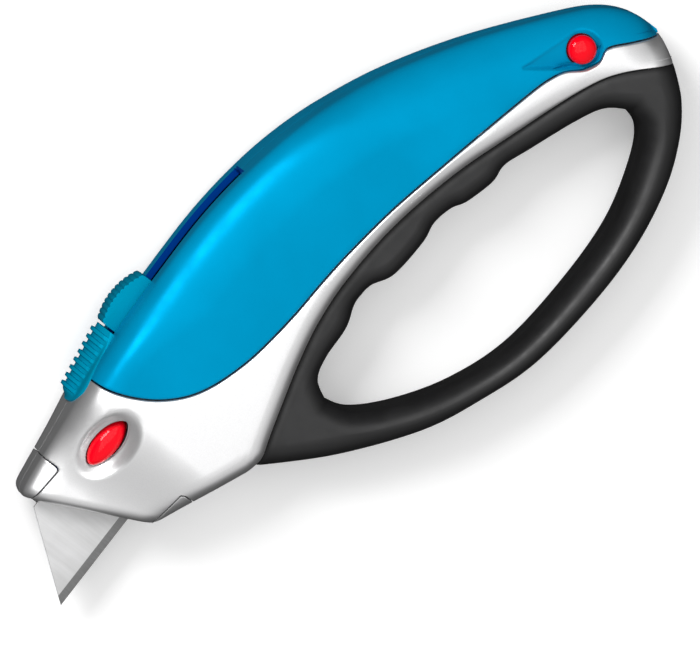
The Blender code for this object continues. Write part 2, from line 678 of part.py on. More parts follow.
def rest_top(x, z, rib):
    """Height of the thumb rest: an arch that runs out in a lip along the back."""
    tip = REST_TIP_DROP * smooth_step(REST_TIP_START, REST_EDGE[-1][0], x)
    arch = REST_CROWN + (x - REST_CROWN_X) * REST_SLOPE - tip - REST_ARCH * (abs(z) / REST_ARCH_HALF) ** 2
    raised = RIB_HEIGHT if rib and abs(z) < REST_ARCH_HALF else 0.0
    return max(arch + raised, back_surface(x, z) + SEAT + REST_LIP)


def thumb_rest():
    """The fixed ribbed pad in front of the thumb slide, with its keel in the slot."""
    stations = [(REST_EDGE[0][0], False)]
    for i in range(REST_RIBS):
        middle = RIB_FIRST - RIB_PITCH * i
        for step, rib in ((RIB_FOOT, False), (RIB_FACE, True), (-RIB_FACE, True), (-RIB_FOOT, False)):
            stations.append((middle + step * RIB_PITCH, rib))
    stations.append((REST_EDGE[-1][0], False))
    across = [-t for t in reversed(REST_ACROSS[1:])] + list(REST_ACROSS)
    bm = bmesh.new()
    rings = []
    for x, rib in stations:
        widths = [t * rest_half(x) for t in across]
        ring = [(x, rest_top(x, z, rib), z) for z in widths]
        ring += [(x, back_surface(x, z) + SEAT, z) for z in reversed(widths)]
        rings.append([bm.verts.new(p) for p in ring])
    for a, b in zip(rings, rings[1:]):
        for i in range(len(a)):
            j = (i + 1) % len(a)
            bm.faces.new((a[i], a[j], b[j], b[i]))
    bm.faces.new(rings[0])
    bm.faces.new(rings[-1])
    pad = new_object("thumb_rest", bm, PARTS)
    return blue(combine(pad, "UNION", box("rest_keel", *REST_KEEL)))


def spare_blades():
    for i in range(SPARE_BLADES):
        blade("spare_blade_%d" % (i + 1), STORE_CORNER, SPARE_LOWEST + SPARE_PITCH * i, STORE_ANGLE)


# ---------------------------------------------------------------- buttons

def release_button(body):
    """The front button, its recess in the left half and its spring."""
    combine(body, "DIFFERENCE", dish("front_dish", FRONT_BUTTON, *FRONT_DISH))
    hole = slab("button_hole", oval(FRONT_BUTTON, BUTTON_HOLE, BUTTON_NARROW), 0, FAR)
    combine(body, "DIFFERENCE", hole)
    button = dome("release_button", FRONT_BUTTON, FRONT_BUTTON_SIZE, *BUTTON_LEVELS, BUTTON_NARROW, PARTS)
    flange = slab("button_flange", oval(FRONT_BUTTON, BUTTON_FLANGE, FLANGE_NARROW), *FLANGE_LEVELS)
    combine(button, "UNION", flange)
    steel(coil("release_spring", FRONT_BUTTON, *RELEASE_COIL))
    return red(button)


def dish(name, centre, size, depth):
    """A cutter for a shallow round-bottomed recess in the left side about a point."""
    surface = body_half(Vector(centre))
    bm = bmesh.new()
    rings = []
    steps = 5
    for k in range(steps + 1):
        t = k / steps
        scale = t if t else 0.02
        z = surface - depth + (depth + 0.6) * t ** 3
        outline = oval(centre, (size[0] * scale, size[1] * scale), DISH_NARROW)
        rings.append([bm.verts.new((x, y, z)) for x, y in outline])
    rings.append([bm.verts.new((x, y, FAR)) for x, y in oval(centre, size, DISH_NARROW)])
    for a, b in zip(rings, rings[1:]):
        for i in range(len(a)):
            j = (i + 1) % len(a)
            bm.faces.new((a[i], a[j], b[j], b[i]))
    bm.faces.new(rings[0])
    bm.faces.new(rings[-1])
    return new_object(name, bm, CUTTERS)


def store_button(cover):
    """The tail button in its cup in the left cover, and its spring."""
    surface = body_half(Vector(STORE_BUTTON))
    cup = cylinder("button_cup", STORE_BUTTON, 0.6, surface - 0.8, CUP_RADIUS, sides=28)
    combine(cover, "UNION", cup)
    combine(cover, "DIFFERENCE",
            cylinder("cup_hollow", STORE_BUTTON, 1.5, 6.0, CUP_RADIUS - CUP_WALL, sides=28),
            cylinder("cup_mouth", STORE_BUTTON, 5.5, FAR, STORE_BUTTON_RADIUS + GAP, sides=28),
            dish("tail_dish", STORE_BUTTON, *TAIL_DISH))
    size = (2 * STORE_BUTTON_RADIUS, 2 * STORE_BUTTON_RADIUS)
    button = dome("store_button", STORE_BUTTON, size, 4.8, surface - 0.7, surface + 1.1, 0.0, PARTS)
    flange = cylinder("store_flange", STORE_BUTTON, 4.2, 5.4, 3.9, sides=24)
    combine(button, "UNION", flange)
    steel(coil("store_spring", STORE_BUTTON, *STORE_COIL))
    return red(button)


def store_catch():
    """The hook on the fixed side that the tail button lets go."""
    x, y = STORE_BUTTON
    hook = slab("store_catch", [(x + dx, y + dy) for dx, dy in CATCH], *CATCH_LEVELS, PARTS)
    nib = box("catch_nib", (x + 6.2, y - 3.4, 2.2), (x + 7.8, y - 2.2, 3.4))
    return steel(combine(hook, "UNION", nib))


# ---------------------------------------------------------------- screws

def post_height(place, half):
    """Lowest half thickness over the top of a screw post."""
    ring = [Vector((place[0] + SCREW_POST * math.cos(k), place[1] + SCREW_POST * math.sin(k)))
            for k in range(7)]
    return min(half(p) for p in ring)


def case_screws(shells, inner):
    """Screws driven in from the right side, with a post for each and clearance in the frame."""
    for name, place in SCREWS.items():
        surface = right_half(Vector(place))
        holder = shells["cover_right"] if name == "case_screw_back" else shells["body_right"]
        post = cylinder("post", place, 0.9 - post_height(place, right_half), -0.5, SCREW_POST)
        combine(holder, "UNION", post)
        seat_z = -surface + 2.1
        combine(holder, "DIFFERENCE", cylinder("head_bore", place, -FAR, seat_z, SCREW_HEAD + BORE_ROOM),
                cylinder("shank_bore", place, -FAR, 10, SCREW_SHANK + BORE_ROOM, sides=16))
        if name == "case_screw_back":
            tip = 3.0
            combine(inner, "DIFFERENCE", cylinder("low_clearance", place, -FAR, -0.2, SCREW_POST + 0.4),
                    cylinder("thread", place, -10, 10, SCREW_SHANK + BORE_ROOM, sides=16))
        else:
            tip = 5.0
            far = cylinder("far_post", place, 0.2, post_height(place, body_half) - 0.9, SCREW_POST)
            combine(shells["body_left"], "UNION", far)
            combine(shells["body_left"], "DIFFERENCE",
                    cylinder("thread", place, -1, tip + 0.4, SCREW_SHANK + BORE_ROOM, sides=16))
            combine(inner, "DIFFERENCE", cylinder("clearance", place, -FAR, FAR, SCREW_POST + 0.4))
        screw = cylinder(name, place, seat_z - 1.7, seat_z - 0.1, SCREW_HEAD, PARTS)
        combine(screw, "UNION", cylinder("shank", place, seat_z - 1, tip, SCREW_SHANK, sides=12))
        recess = cylinder("drive", place, seat_z - 5, seat_z - 1.0, SCREW_DRIVE, sides=6)
        combine(screw, "DIFFERENCE", recess)
        steel(screw)


# ---------------------------------------------------------------- finger loop

def finger_loop():
    """The two rubber halves of the loop on their stiff core."""
    form = loop_body("loop_form")
    core = loop_body("loop_core_form", 2.2, 2.6)
    room = loop_body("loop_room", 1.5, 2.0, 1.7)
    middle = box("core_space", (-33, -FAR, -3.0), (82, FAR, 3.0))
    room_space = box("room_space", (-FAR, -FAR, -3.3), (FAR, FAR, 3.3))
    combine(core, "INTERSECT", middle)
    combine(room, "INTERSECT", room_space)
    for side, space in (("left", "left_space"), ("right", "right_space")):
        grip = combine(copied(form, "grip_" + side), "INTERSECT", bpy.data.objects[space])
        combine(grip, "DIFFERENCE", room)
        black(grip)
    black(copied(core, "loop_core"))


# ---------------------------------------------------------------- build

def build():
    shells = shell_halves()
    cut_slot(shells)
    nose_guide(shells)
    inner = chassis()
    release_button(shells["body_left"])
    store_button(shells["cover_left"])
    hook_tongue(shells["cover_left"])
    blade("blade", BLADE_TIP, 0.0)
    blade_carriage()
    blade_clip()
    thumb_slide()
    slide_spring()
    thumb_rest()
    spare_blades()
    store_catch()
    case_screws(shells, inner)
    finger_loop()
    for side in ("left", "right"):
        blue(shells["cover_" + side])
        silver(shells["body_" + side])
    for obj in CUTTERS.objects:
        obj.hide_render = True
        obj.display_type = "WIRE"


for old in list(bpy.data.objects):
    bpy.data.objects.remove(old)
PARTS = bpy.data.collections.new("utility_knife")
CUTTERS = bpy.data.collections.new("cutters")
bpy.context.scene.collection.children.link(PARTS)
bpy.context.scene.collection.children.link(CUTTERS)
MIDPLANE = bpy.data.objects.new("midplane", None)
MIDPLANE.location = Vector((*CENTRE_SHIFT, HALF_WIDTH)) * MM
PARTS.objects.link(MIDPLANE)
build()
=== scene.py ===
"""Looks of the utility knife: fine shells, rubber loop, buttons, blade, and their materials."""
import math

import bmesh
import bpy
import numpy as np
from mathutils import Matrix, Vector


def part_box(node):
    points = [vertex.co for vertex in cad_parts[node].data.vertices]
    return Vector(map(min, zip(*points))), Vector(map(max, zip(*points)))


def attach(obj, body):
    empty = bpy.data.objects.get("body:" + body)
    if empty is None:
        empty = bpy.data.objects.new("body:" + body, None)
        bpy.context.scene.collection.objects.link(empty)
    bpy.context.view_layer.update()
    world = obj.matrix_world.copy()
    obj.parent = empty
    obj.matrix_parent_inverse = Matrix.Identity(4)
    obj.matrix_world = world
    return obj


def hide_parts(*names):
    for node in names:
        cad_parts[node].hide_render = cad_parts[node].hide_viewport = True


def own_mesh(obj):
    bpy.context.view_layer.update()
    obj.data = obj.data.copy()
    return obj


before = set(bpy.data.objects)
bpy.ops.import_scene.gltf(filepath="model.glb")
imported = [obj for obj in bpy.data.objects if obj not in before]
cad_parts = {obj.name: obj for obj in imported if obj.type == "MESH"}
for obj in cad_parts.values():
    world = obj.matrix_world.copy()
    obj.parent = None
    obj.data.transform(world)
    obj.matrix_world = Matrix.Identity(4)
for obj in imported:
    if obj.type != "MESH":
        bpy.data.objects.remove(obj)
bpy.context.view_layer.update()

MM = 0.001

# ---------------------------------------------------------------- driving dimensions, in millimetres

SIDE_HALF = 13.6
REST_HALF = 13.2
NOSE_HALF = 8.4
TAIL_HALF = 9.2
LOOP_HALF = 9.3
SPINE_HALF = 7.0
WALL = 1.5
TAIL_ROUND, BELLY_ROUND, GRIP_ROUND, FRONT_ROUND = 5.0, 4.6, 3.8, 2.5
SEAM_GAP = 0.2
ROLL = 0.36
SKIRT = 1.2

BLADE_TIP = (-92.7, 9.5)
BLADE_LENGTH, BLADE_HEIGHT, BLADE_THICK, BLADE_RUN = 61.0, 19.0, 0.6, 14.0
NOTCH_RADIUS, NOTCH_SPACING = 1.6, 9.0
BLADE_BEVEL = 1.9

FRONT_BUTTON, FRONT_BUTTON_SIZE, FRONT_FLANGE = (-57.0, 26.4), (12.4, 5.8), (14.0, 7.4)
FRONT_DISH, DISH_DEPTH = (19.0, 13.0), 2.3
DISH_ROWS = (0.5, 0.56, 0.62, 0.69, 0.76, 0.84, 0.92, 1.0)
STORE_BUTTON, STORE_BUTTON_SIZE, STORE_FLANGE = (78.1, -4.8), (6.6, 6.6), (7.6, 7.6)
TEARDROP_TIP, TEARDROP_DEPTH = (66.9, 3.7), 3.0
TEARDROP_RADIUS, TEARDROP_TIP_RADIUS = 4.6, 0.5
TEARDROP_ROWS = (-0.3, 0.0, 0.3, 0.6, 0.9)
HOLE_ROLL = 0.3

SLOT_REAR, SLOT_HALF = 9.4, 3.8

NOSE_BACK = [(-78.1, 32.8), (-76.6, 34.2), (-71.6, 35.1), (-61.4, 36.4), (-48.0, 38.4)]
BLUE_BACK = [(-36.0, 39.4), (-21.8, 39.9), (-4.6, 40.0), (9.5, 38.7), (22.2, 36.2), (33.8, 32.5),
             (47.5, 26.3), (64.5, 15.8), (81.7, 2.6), (88.6, -4.0), (92.0, -10.4), (92.6, -17.2)]
BELLY = [(-65.1, 5.4), (-56.0, 1.7), (-40.7, -5.0)]
GRIP_LINE = [(-40.7, -5.0), (-34.8, -2.6), (-24.7, 0.6), (-16.1, 3.1), (-6.2, 5.2), (5.5, 6.0),
             (21.1, 4.9), (37.7, 1.4), (52.8, -3.6), (70.7, -10.2), (79.5, -15.2), (88.8, -24.4)]
SEAM = [(-48.0, 38.2), (-47.4, 34.5), (-45.4, 29.2), (-42.2, 23.9), (-37.8, 19.4), (-32.8, 16.4),
        (-26.7, 14.2), (-19.7, 12.6), (-9.2, 11.4), (0.9, 10.9), (10.5, 10.1), (24.2, 8.2),
        (40.5, 4.7), (52.9, 1.7), (64.4, -1.3), (68.9, -2.9), (72.0, -4.7), (75.0, -8.0),
        (78.3, -9.6), (81.9, -9.3), (86.4, -13.2), (91.2, -17.8)]
BOW = [(88.8, -24.9), (83.6, -31.5), (76.1, -37.0), (65.5, -41.5), (51.3, -44.3), (35.1, -44.6),
       (16.3, -42.5), (1.8, -37.6), (-11.8, -31.0), (-27.9, -18.6), (-40.7, -5.6)]
FINGER_SIDE = [(-19.6, -9.0), (-17.0, -4.4), (-12.0, -2.7), (-3.9, -2.2), (1.0, -0.5), (3.5, -0.2),
               (7.2, -0.7), (12.3, -3.4), (22.0, -4.1), (27.0, -3.4), (31.8, -4.4), (35.3, -6.4),
               (42.3, -8.3), (47.0, -8.1), (52.9, -10.3), (65.0, -15.1), (71.1, -18.6), (74.4, -23.6)]
BOW_SIDE = [(74.4, -23.6), (72.8, -28.6), (66.3, -32.6), (52.4, -36.8), (35.6, -37.7), (16.5, -36.1),
            (1.9, -30.9), (-9.9, -23.3), (-17.6, -15.6), (-19.6, -9.0)]
TAIL_END = [(92.6, -17.2), (91.9, -20.0), (88.8, -24.4)]

# The design origin: the blade's box starts at the blade's tip, and the mid-plane runs through it
_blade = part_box("blade")
ORIGIN = Vector((_blade[0][0] - BLADE_TIP[0] * MM, _blade[0][1] - BLADE_TIP[1] * MM,
                 (_blade[0][2] + _blade[1][2]) / 2))


# ---------------------------------------------------------------- curves in plan

def spline(points, pieces=12):
    """A Catmull-Rom curve through the points, as an array of plan points."""
    ends = np.array([points[0]] + list(points) + [points[-1]], float)
    t = np.arange(pieces)[:, None] / pieces
    result = []
    for p0, p1, p2, p3 in zip(ends, ends[1:], ends[2:], ends[3:]):
        result.append((2 * p1 + (p2 - p0) * t + (2 * p0 - 5 * p1 + 4 * p2 - p3) * t ** 2
                       + (3 * p1 - p0 - 3 * p2 + p3) * t ** 3) / 2)
    return np.vstack(result + [ends[-1:]])


def arc_length(path):
    return np.concatenate([[0], np.cumsum(np.linalg.norm(np.diff(path, axis=0), axis=1))])


def along(path, fractions):
    """Points of a path at fractions of its length."""
    length = arc_length(path)
    at = np.asarray(fractions) * length[-1]
    return np.stack([np.interp(at, length, path[:, k]) for k in (0, 1)], axis=1)


def shifted(path, distance):
    """The path moved to its left by a distance."""
    tangent = np.gradient(path, axis=0)
    tangent /= np.maximum(np.linalg.norm(tangent, axis=1)[:, None], 1e-9)
    return path + np.stack([-tangent[:, 1], tangent[:, 0]], axis=1) * distance


def distance_to(path, points):
    """Shortest plan distance from each point to a path."""
    flat = points.reshape(-1, 2)
    best = np.full(len(flat), 1e9)
    for a, b in zip(path, path[1:]):
        ab = b - a
        t = np.clip(((flat - a) @ ab) / max(ab @ ab, 1e-12), 0, 1)
        best = np.minimum(best, np.linalg.norm(flat - a - t[:, None] * ab, axis=1))
    return best.reshape(points.shape[:-1])


def smooth_step(low, high, x):
    t = np.clip((x - low) / (high - low), 0, 1)
    return t * t * (3 - 2 * t)


def rounding(distance, radius):
    """0 at an edge, 1 from the given radius inwards, along a quarter ellipse."""
    t = 1 - np.clip(distance / radius, 0, 1)
    return np.sqrt(np.maximum(0, 1 - t * t))


BACK_PATH = spline(NOSE_BACK + BLUE_BACK)
NOSE_BACK_PATH = BACK_PATH[:12 * (len(NOSE_BACK) - 1) + 1]
BLUE_BACK_PATH = BACK_PATH[12 * (len(NOSE_BACK) - 1):]
TAIL_PATH = np.array(TAIL_END)
BELLY_PATH = spline(BELLY)
GRIP_PATH = spline(GRIP_LINE)
FRONT_PATH = np.array([BELLY[0], NOSE_BACK[0]])
SEAM_PATH = spline(SEAM)
BOW_PATH = spline(BOW)
FINGER_PATH = spline(FINGER_SIDE)
BOW_SIDE_PATH = spline(BOW_SIDE)


# ---------------------------------------------------------------- the form of the sides

def crown(x):
    """Half thickness at the middle of the side: slim at the nose, full at the grip, slimmer at the tail."""
    front = NOSE_HALF + (SIDE_HALF - NOSE_HALF) * smooth_step(-70, -49, x)
    return front - (SIDE_HALF - TAIL_HALF) * smooth_step(30, 94, x)


def front_spine(x):
    """Half width of the flat along the back, ahead of the slot's rear end."""
    return SPINE_HALF - 2.0 * smooth_step(-50, -75, x)


def front_shoulder(x):
    """How far the rounding of the back reaches into the side, ahead of the tail."""
    return 6.0 + 7.5 * smooth_step(-44, -15, x)


def body_half(p):
    """Half thickness of the body at plan points."""
    x = p[..., 0]
    top = crown(x)
    spine = front_spine(x) - 2.5 * smooth_step(12, 45, x) - 2.0 * smooth_step(50, 92, x)
    shoulder = front_shoulder(x) - 3.0 * smooth_step(50, 92, x)
    half = top.copy()
    half -= (top - spine) * (1 - rounding(distance_to(BACK_PATH, p), shoulder))
    half -= (top - 4.5) * (1 - rounding(distance_to(TAIL_PATH, p), TAIL_ROUND))
    half -= (top - 5.0) * (1 - rounding(distance_to(BELLY_PATH, p), BELLY_ROUND))
    half -= (top - LOOP_HALF - 0.2) * (1 - rounding(distance_to(GRIP_PATH, p), GRIP_ROUND))
    half -= 2.5 * (1 - rounding(distance_to(FRONT_PATH, p), FRONT_ROUND))
    return np.maximum(half, 2.5)


def dish_radius(p):
    """0 at the middle of the dished recess round the front button, 1 along its rim."""
    u = (p[..., 0] - FRONT_BUTTON[0]) / FRONT_DISH[0]
    v = (p[..., 1] - FRONT_BUTTON[1]) / FRONT_DISH[1]
    return np.hypot(u, v) * 2


def front_dish(p):
    """Depth of the dished recess round the front button."""
    return DISH_DEPTH * (1 - smooth_step(DISH_ROWS[0], DISH_ROWS[-1], dish_radius(p)))


def teardrop_inside(p):
    """Distance inside the teardrop's outline, share of the way to its tip, and place across it (-1 to 1)."""
    centre, tip = np.array(STORE_BUTTON), np.array(TEARDROP_TIP)
    axis = tip - centre
    share = np.clip((p - centre) @ axis / (axis @ axis), 0, 1)
    offset = p - centre - share[..., None] * axis
    radius = TEARDROP_RADIUS * (1 - share) + TEARDROP_TIP_RADIUS * share
    across = (offset @ np.array([axis[1], -axis[0]])) / np.linalg.norm(axis) / radius
    return radius - np.linalg.norm(offset, axis=-1), share, np.clip(across, -1, 1)


def teardrop(p):
    """Depth of the teardrop recess round the tail button."""
    inside, share, across = teardrop_inside(p)
    wall = smooth_step(TEARDROP_ROWS[0], TEARDROP_ROWS[-1], inside)
    return TEARDROP_DEPTH * (1 - 0.7 * share) * (0.55 - 0.45 * across) * wall


def left_half(p):
    return body_half(p) - front_dish(p) - teardrop(p)


def right_half(p):
    return np.minimum(body_half(p), REST_HALF)


def loop_half(p):
    """Half thickness of the finger loop at plan points."""
    half = np.full(p.shape[:-1], LOOP_HALF)
    half -= 1.6 * (1 - rounding(distance_to(GRIP_PATH, p), 2.0))
    half -= 6.0 * (1 - rounding(distance_to(BOW_PATH, p), 5.5))
    inner = np.minimum(distance_to(FINGER_PATH, p), distance_to(BOW_SIDE_PATH, p))
    half -= 5.5 * (1 - rounding(inner, 4.5))
    return np.maximum(half, 2.0)


# ---------------------------------------------------------------- mesh helpers

def link(name, mesh):
    obj = bpy.data.objects.new(name, mesh)
    bpy.context.scene.collection.objects.link(obj)
    return obj


def placed(mesh, side=1):
    """Design millimetres to world metres; side -1 mirrors the mesh to the right side."""
    mesh.transform(Matrix.Diagonal((MM, MM, MM * side, 1)))
    if side < 0:
        mesh.flip_normals()
    mesh.transform(Matrix.Translation(ORIGIN))
    mesh.update()


def lifted(plan, half):
    return np.concatenate([plan, half[..., None]], axis=-1)


def column(plan, heights):
    """Extra rows that run down from an edge: (stations, 2) and (stations, rows) heights."""
    return lifted(np.repeat(plan[:, None], heights.shape[1], axis=1), heights)


def grid_mesh(name, grid, ring=True, side=1):
    """A closed mesh over a grid of points (stations, rows, 3): a ring of stations, or a bar with two ends."""
    stations, rows = grid.shape[:2]
    index = np.arange(stations * rows).reshape(stations, rows)
    index = np.vstack([index, index[:1]]) if ring else index
    quads = np.stack([index[:-1, :-1], index[1:, :-1], index[1:, 1:], index[:-1, 1:]], axis=-1).reshape(-1, 4)
    faces = quads.tolist()
    if not ring:
        faces += [index[0].tolist()[:-1], index[-1].tolist()[:-1]]
    mesh = bpy.data.meshes.new(name)
    mesh.from_pydata(grid.reshape(-1, 3).tolist(), [], faces)
    bm = bmesh.new()
    bm.from_mesh(mesh)
    bmesh.ops.remove_doubles(bm, verts=bm.verts, dist=0.004)
    bmesh.ops.recalc_face_normals(bm, faces=bm.faces)
    if bm.calc_volume(signed=True) < 0:
        bmesh.ops.reverse_faces(bm, faces=bm.faces)
    bm.to_mesh(mesh)
    bm.free()
    placed(mesh, side)
    return link(name, mesh)


def bm_object(name, bm):
    bmesh.ops.recalc_face_normals(bm, faces=bm.faces)
    mesh = bpy.data.meshes.new(name)
    bm.to_mesh(mesh)
    bm.free()
    placed(mesh)
    return link(name, mesh)


def slab(name, outline, low, high):
    """A plan outline extruded from z = low to z = high."""
    bm = bmesh.new()
    bottom = [bm.verts.new((p[0], p[1], low)) for p in outline]
    face = bm.faces.new(bottom)
    top = bmesh.ops.extrude_face_region(bm, geom=[face])["geom"]
    verts = [v for v in top if isinstance(v, bmesh.types.BMVert)]
    bmesh.ops.translate(bm, vec=(0, 0, high - low), verts=verts)
    return bm_object(name, bm)


def box(name, low, high):
    outline = [(low[0], low[1]), (high[0], low[1]), (high[0], high[1]), (low[0], high[1])]
    return slab(name, outline, low[2], high[2])


def applied(obj):
    """Bake an object's modifiers into its mesh."""
    bpy.context.view_layer.update()
    evaluated = obj.evaluated_get(bpy.context.evaluated_depsgraph_get())
    mesh = bpy.data.meshes.new_from_object(evaluated)
    obj.modifiers.clear()
    obj.data = mesh
    return obj


def solid(obj, thickness):
    modifier = obj.modifiers.new("shell", "SOLIDIFY")
    modifier.thickness = thickness * MM
    modifier.offset = -1
    return applied(obj)


def boolean(obj, operation, *tools):
    for tool in tools:
        modifier = obj.modifiers.new("cut", "BOOLEAN")
        modifier.operation = operation
        modifier.solver = "EXACT"
        modifier.object = tool
    applied(obj)
    for tool in tools:
        bpy.data.objects.remove(tool)
    return obj


def bevel(obj, width, segments=3, angle=35):
    modifier = obj.modifiers.new("edges", "BEVEL")
    modifier.width = width * MM
    modifier.segments = segments
    modifier.limit_method = "ANGLE"
    modifier.angle_limit = math.radians(angle)
    return applied(obj)


def smooth(obj, angle=40):
    obj.data.shade_smooth()
    obj.data.set_sharp_from_angle(angle=math.radians(angle))
    return obj


def oval(centre, size, sharp=0.0, count=96):
    """An oval outline; sharp narrows its two ends towards points."""
    points = []
    for i in range(count):
        angle = 2 * math.pi * i / count
        narrow = 1 - sharp * abs(math.cos(angle)) ** 3
        points.append((centre[0] + size[0] / 2 * math.cos(angle),
                       centre[1] + size[1] / 2 * math.sin(angle) * narrow))
    return points


def joined(target, *others):
    """Join the meshes of several objects into the first."""
    bm = bmesh.new()
    bm.from_mesh(target.data)
    for other in others:
        bm.from_mesh(other.data)
        bpy.data.objects.remove(other)
    bm.to_mesh(target.data)
    bm.free()
    return target


# ---------------------------------------------------------------- sheets: plan meshes, cut and lifted

EDGE_ROWS = np.array([0, 0.06, 0.16, 0.3, 0.5, 0.85, 1.4, 2.2, 3.2, 4.4, 5.8, 7.4])
MIDDLE_ROWS = 34


def strip(lower, upper):
    """Plan points between matched edges, with rows packed towards both edges."""
    length = np.linalg.norm(upper - lower, axis=1)
    reach = np.minimum(1, 0.42 * length / EDGE_ROWS[-1])
    first = EDGE_ROWS[None] * reach[:, None]
    last = length[:, None] - first[:, ::-1]
    t = np.linspace(0, 1, MIDDLE_ROWS + 2)[1:-1]
    middle = first[:, -1:] + (last[:, :1] - first[:, -1:]) * t[None]
    at = np.concatenate([first, middle, last], axis=1) / np.maximum(length, 1e-6)[:, None]
    return lower[:, None] + (upper - lower)[:, None] * at[..., None]


def quads_of(plan):
    """A plan grid as a list of points and a list of faces."""
    stations, rows = plan.shape[:2]
    index = np.arange(stations * rows).reshape(stations, rows)
    quads = np.stack([index[:-1, :-1], index[1:, :-1], index[1:, 1:], index[:-1, 1:]], axis=-1).reshape(-1, 4)
    return plan.reshape(-1, 2), [tuple(q) for q in quads.tolist()]


def split(points, faces, level):
    """Cut faces along level = 0: the points with the new ones, the faces above and the faces below."""
    value = level(points)
    value = np.where(np.abs(value) < 2e-3, 0.0, value)
    edges = set()
    for face in faces:
        for a, b in zip(face, face[1:] + face[:1]):
            if value[a] * value[b] < 0:
                edges.add((min(a, b), max(a, b)))
    edges = sorted(edges)
    if not edges:
        above = [f for f in faces if max(value[list(f)]) > 0]
        below = [f for f in faces if max(value[list(f)]) <= 0]
        return points, above, below
    a, b = (points[[e[k] for e in edges]] for k in (0, 1))
    va, vb = (value[[e[k] for e in edges]] for k in (0, 1))
    for _ in range(4):
        t = (va / (va - vb))[:, None]
        middle = a + (b - a) * t
        vm = level(middle)
        same = (vm * va > 0)
        a, va = np.where(same[:, None], middle, a), np.where(same, vm, va)
        b, vb = np.where(same[:, None], b, middle), np.where(same, vb, np.where(vm == 0, -va * 1e-6, vm))
    place = {edge: len(points) + k for k, edge in enumerate(edges)}
    points = np.vstack([points, middle])
    value = value.tolist()
    above, below = [], []
    for face in faces:
        signs = [value[k] for k in face]
        if min(signs) >= 0:
            above.append(face)
            continue
        if max(signs) <= 0:
            below.append(face)
            continue
        parts = ([], [])
        for k, (a, b) in enumerate(zip(face, face[1:] + face[:1])):
            if signs[k] >= 0:
                parts[0].append(a)
            if signs[k] <= 0:
                parts[1].append(a)
            if value[a] * value[b] < 0:
                new = place[(min(a, b), max(a, b))]
                parts[0].append(new)
                parts[1].append(new)
        for part, home in zip(parts, (above, below)):
            if len(part) > 2:
                home.append(tuple(part))
    return points, above, below


def region_level(region):
    """Signed distance to a closed region in plan, negative inside it."""
    ring = np.array(list(region) + [region[0]], float)

    def level(p):
        inside = np.zeros(len(p), bool)
        for a, b in zip(ring, ring[1:]):
            crosses = (a[1] > p[:, 1]) != (b[1] > p[:, 1])
            with np.errstate(divide="ignore", invalid="ignore"):
                x = a[0] + (b[0] - a[0]) * (p[:, 1] - a[1]) / (b[1] - a[1])
            inside ^= crosses & (p[:, 0] < x)
        distance = distance_to(ring, p)
        return np.where(inside, -distance, distance)

    return level


def rolled(distance, radius=ROLL):
    """How far a surface drops at a distance from a rolled edge."""
    t = radius - np.clip(distance, 0, radius)
    return radius - np.sqrt(np.maximum(0, radius ** 2 - t ** 2))


def parted(points, faces, level, gap, roll):
    """Cut faces along a seam: the points, the side above and the side below, each with rows for its roll."""
    sides = []
    for sign in (1, -1):
        current = faces
        for offset in (gap + roll, gap + roll * 0.55, gap + roll * 0.25, gap + roll * 0.06):
            points, above, below = split(points, current, lambda p: sign * level(p) - offset)
            current = above + below
        points, kept, _ = split(points, current, lambda p: sign * level(p) - gap)
        sides.append(kept)
    return points, sides[0], sides[1]


def ringed(points, faces, level, offsets):
    """Add rows of points along several levels."""
    for offset in offsets:
        points, above, below = split(points, faces, lambda p: level(p) - offset)
        faces = above + below
    return points, faces


def sheet(name, points, faces, height, floor, steps, side=1, wall=WALL):
    """Lift a plan mesh to its height, carry its open edges down to the floor, and give it a wall."""
    used = sorted({k for face in faces for k in face})
    renumber = {k: i for i, k in enumerate(used)}
    plan = points[used]
    z = height(plan)
    mesh = bpy.data.meshes.new(name)
    mesh.from_pydata(np.column_stack([plan, z]).tolist(), [], [[renumber[k] for k in f] for f in faces])
    bm = bmesh.new()
    bm.from_mesh(mesh)
    bmesh.ops.remove_doubles(bm, verts=bm.verts, dist=0.004)
    bmesh.ops.dissolve_degenerate(bm, edges=bm.edges, dist=0.004)
    edges = [e for e in bm.edges if e.is_boundary]
    for k in range(steps):
        made = bmesh.ops.extrude_edge_only(bm, edges=edges)["geom"]
        verts = [v for v in made if isinstance(v, bmesh.types.BMVert)]
        edges = [e for e in made if isinstance(e, bmesh.types.BMEdge)]
        if not k:
            low = floor(np.array([v.co[:2] for v in verts]), np.array([v.co.z for v in verts]))
            goal = {tuple(round(c, 5) for c in v.co[:2]): z for v, z in zip(verts, low)}
        for v in verts:
            target = goal[tuple(round(c, 5) for c in v.co[:2])]
            v.co.z += (target - v.co.z) / (steps - k)
    bmesh.ops.recalc_face_normals(bm, faces=bm.faces)
    if sum(f.normal.z * f.calc_area() for f in bm.faces) < 0:
        bmesh.ops.reverse_faces(bm, faces=bm.faces)
    bm.to_mesh(mesh)
    bm.free()
    placed(mesh, side)
    return solid(link(name, mesh), wall)


# ---------------------------------------------------------------- covers and silver halves

FRONT_HOLE, TAIL_HOLE = (12.9, 6.4, 0.15), (7.1, 7.1, 0.0)
CAP_SEAM, TAB_SEAM, SEAM_ROLL = 0.15, 0.11, 0.2
CAP = [(-90.0, 31.55), (-76.9, 31.5), (-69.1, 31.1), (-68.5, 31.25), (-68.15, 31.9), (-68.2, 33.0),
       (-68.6, 45.0), (-90.0, 45.0)]
TAB = [(-75.0, 6.2), (-64.6, 6.1), (-56.5, 6.2), (-55.95, 5.95), (-55.8, 5.4), (-55.85, -6.0),
       (-75.0, -6.0)]
CAP_WALL, TAB_WALL = 0.7, 0.3


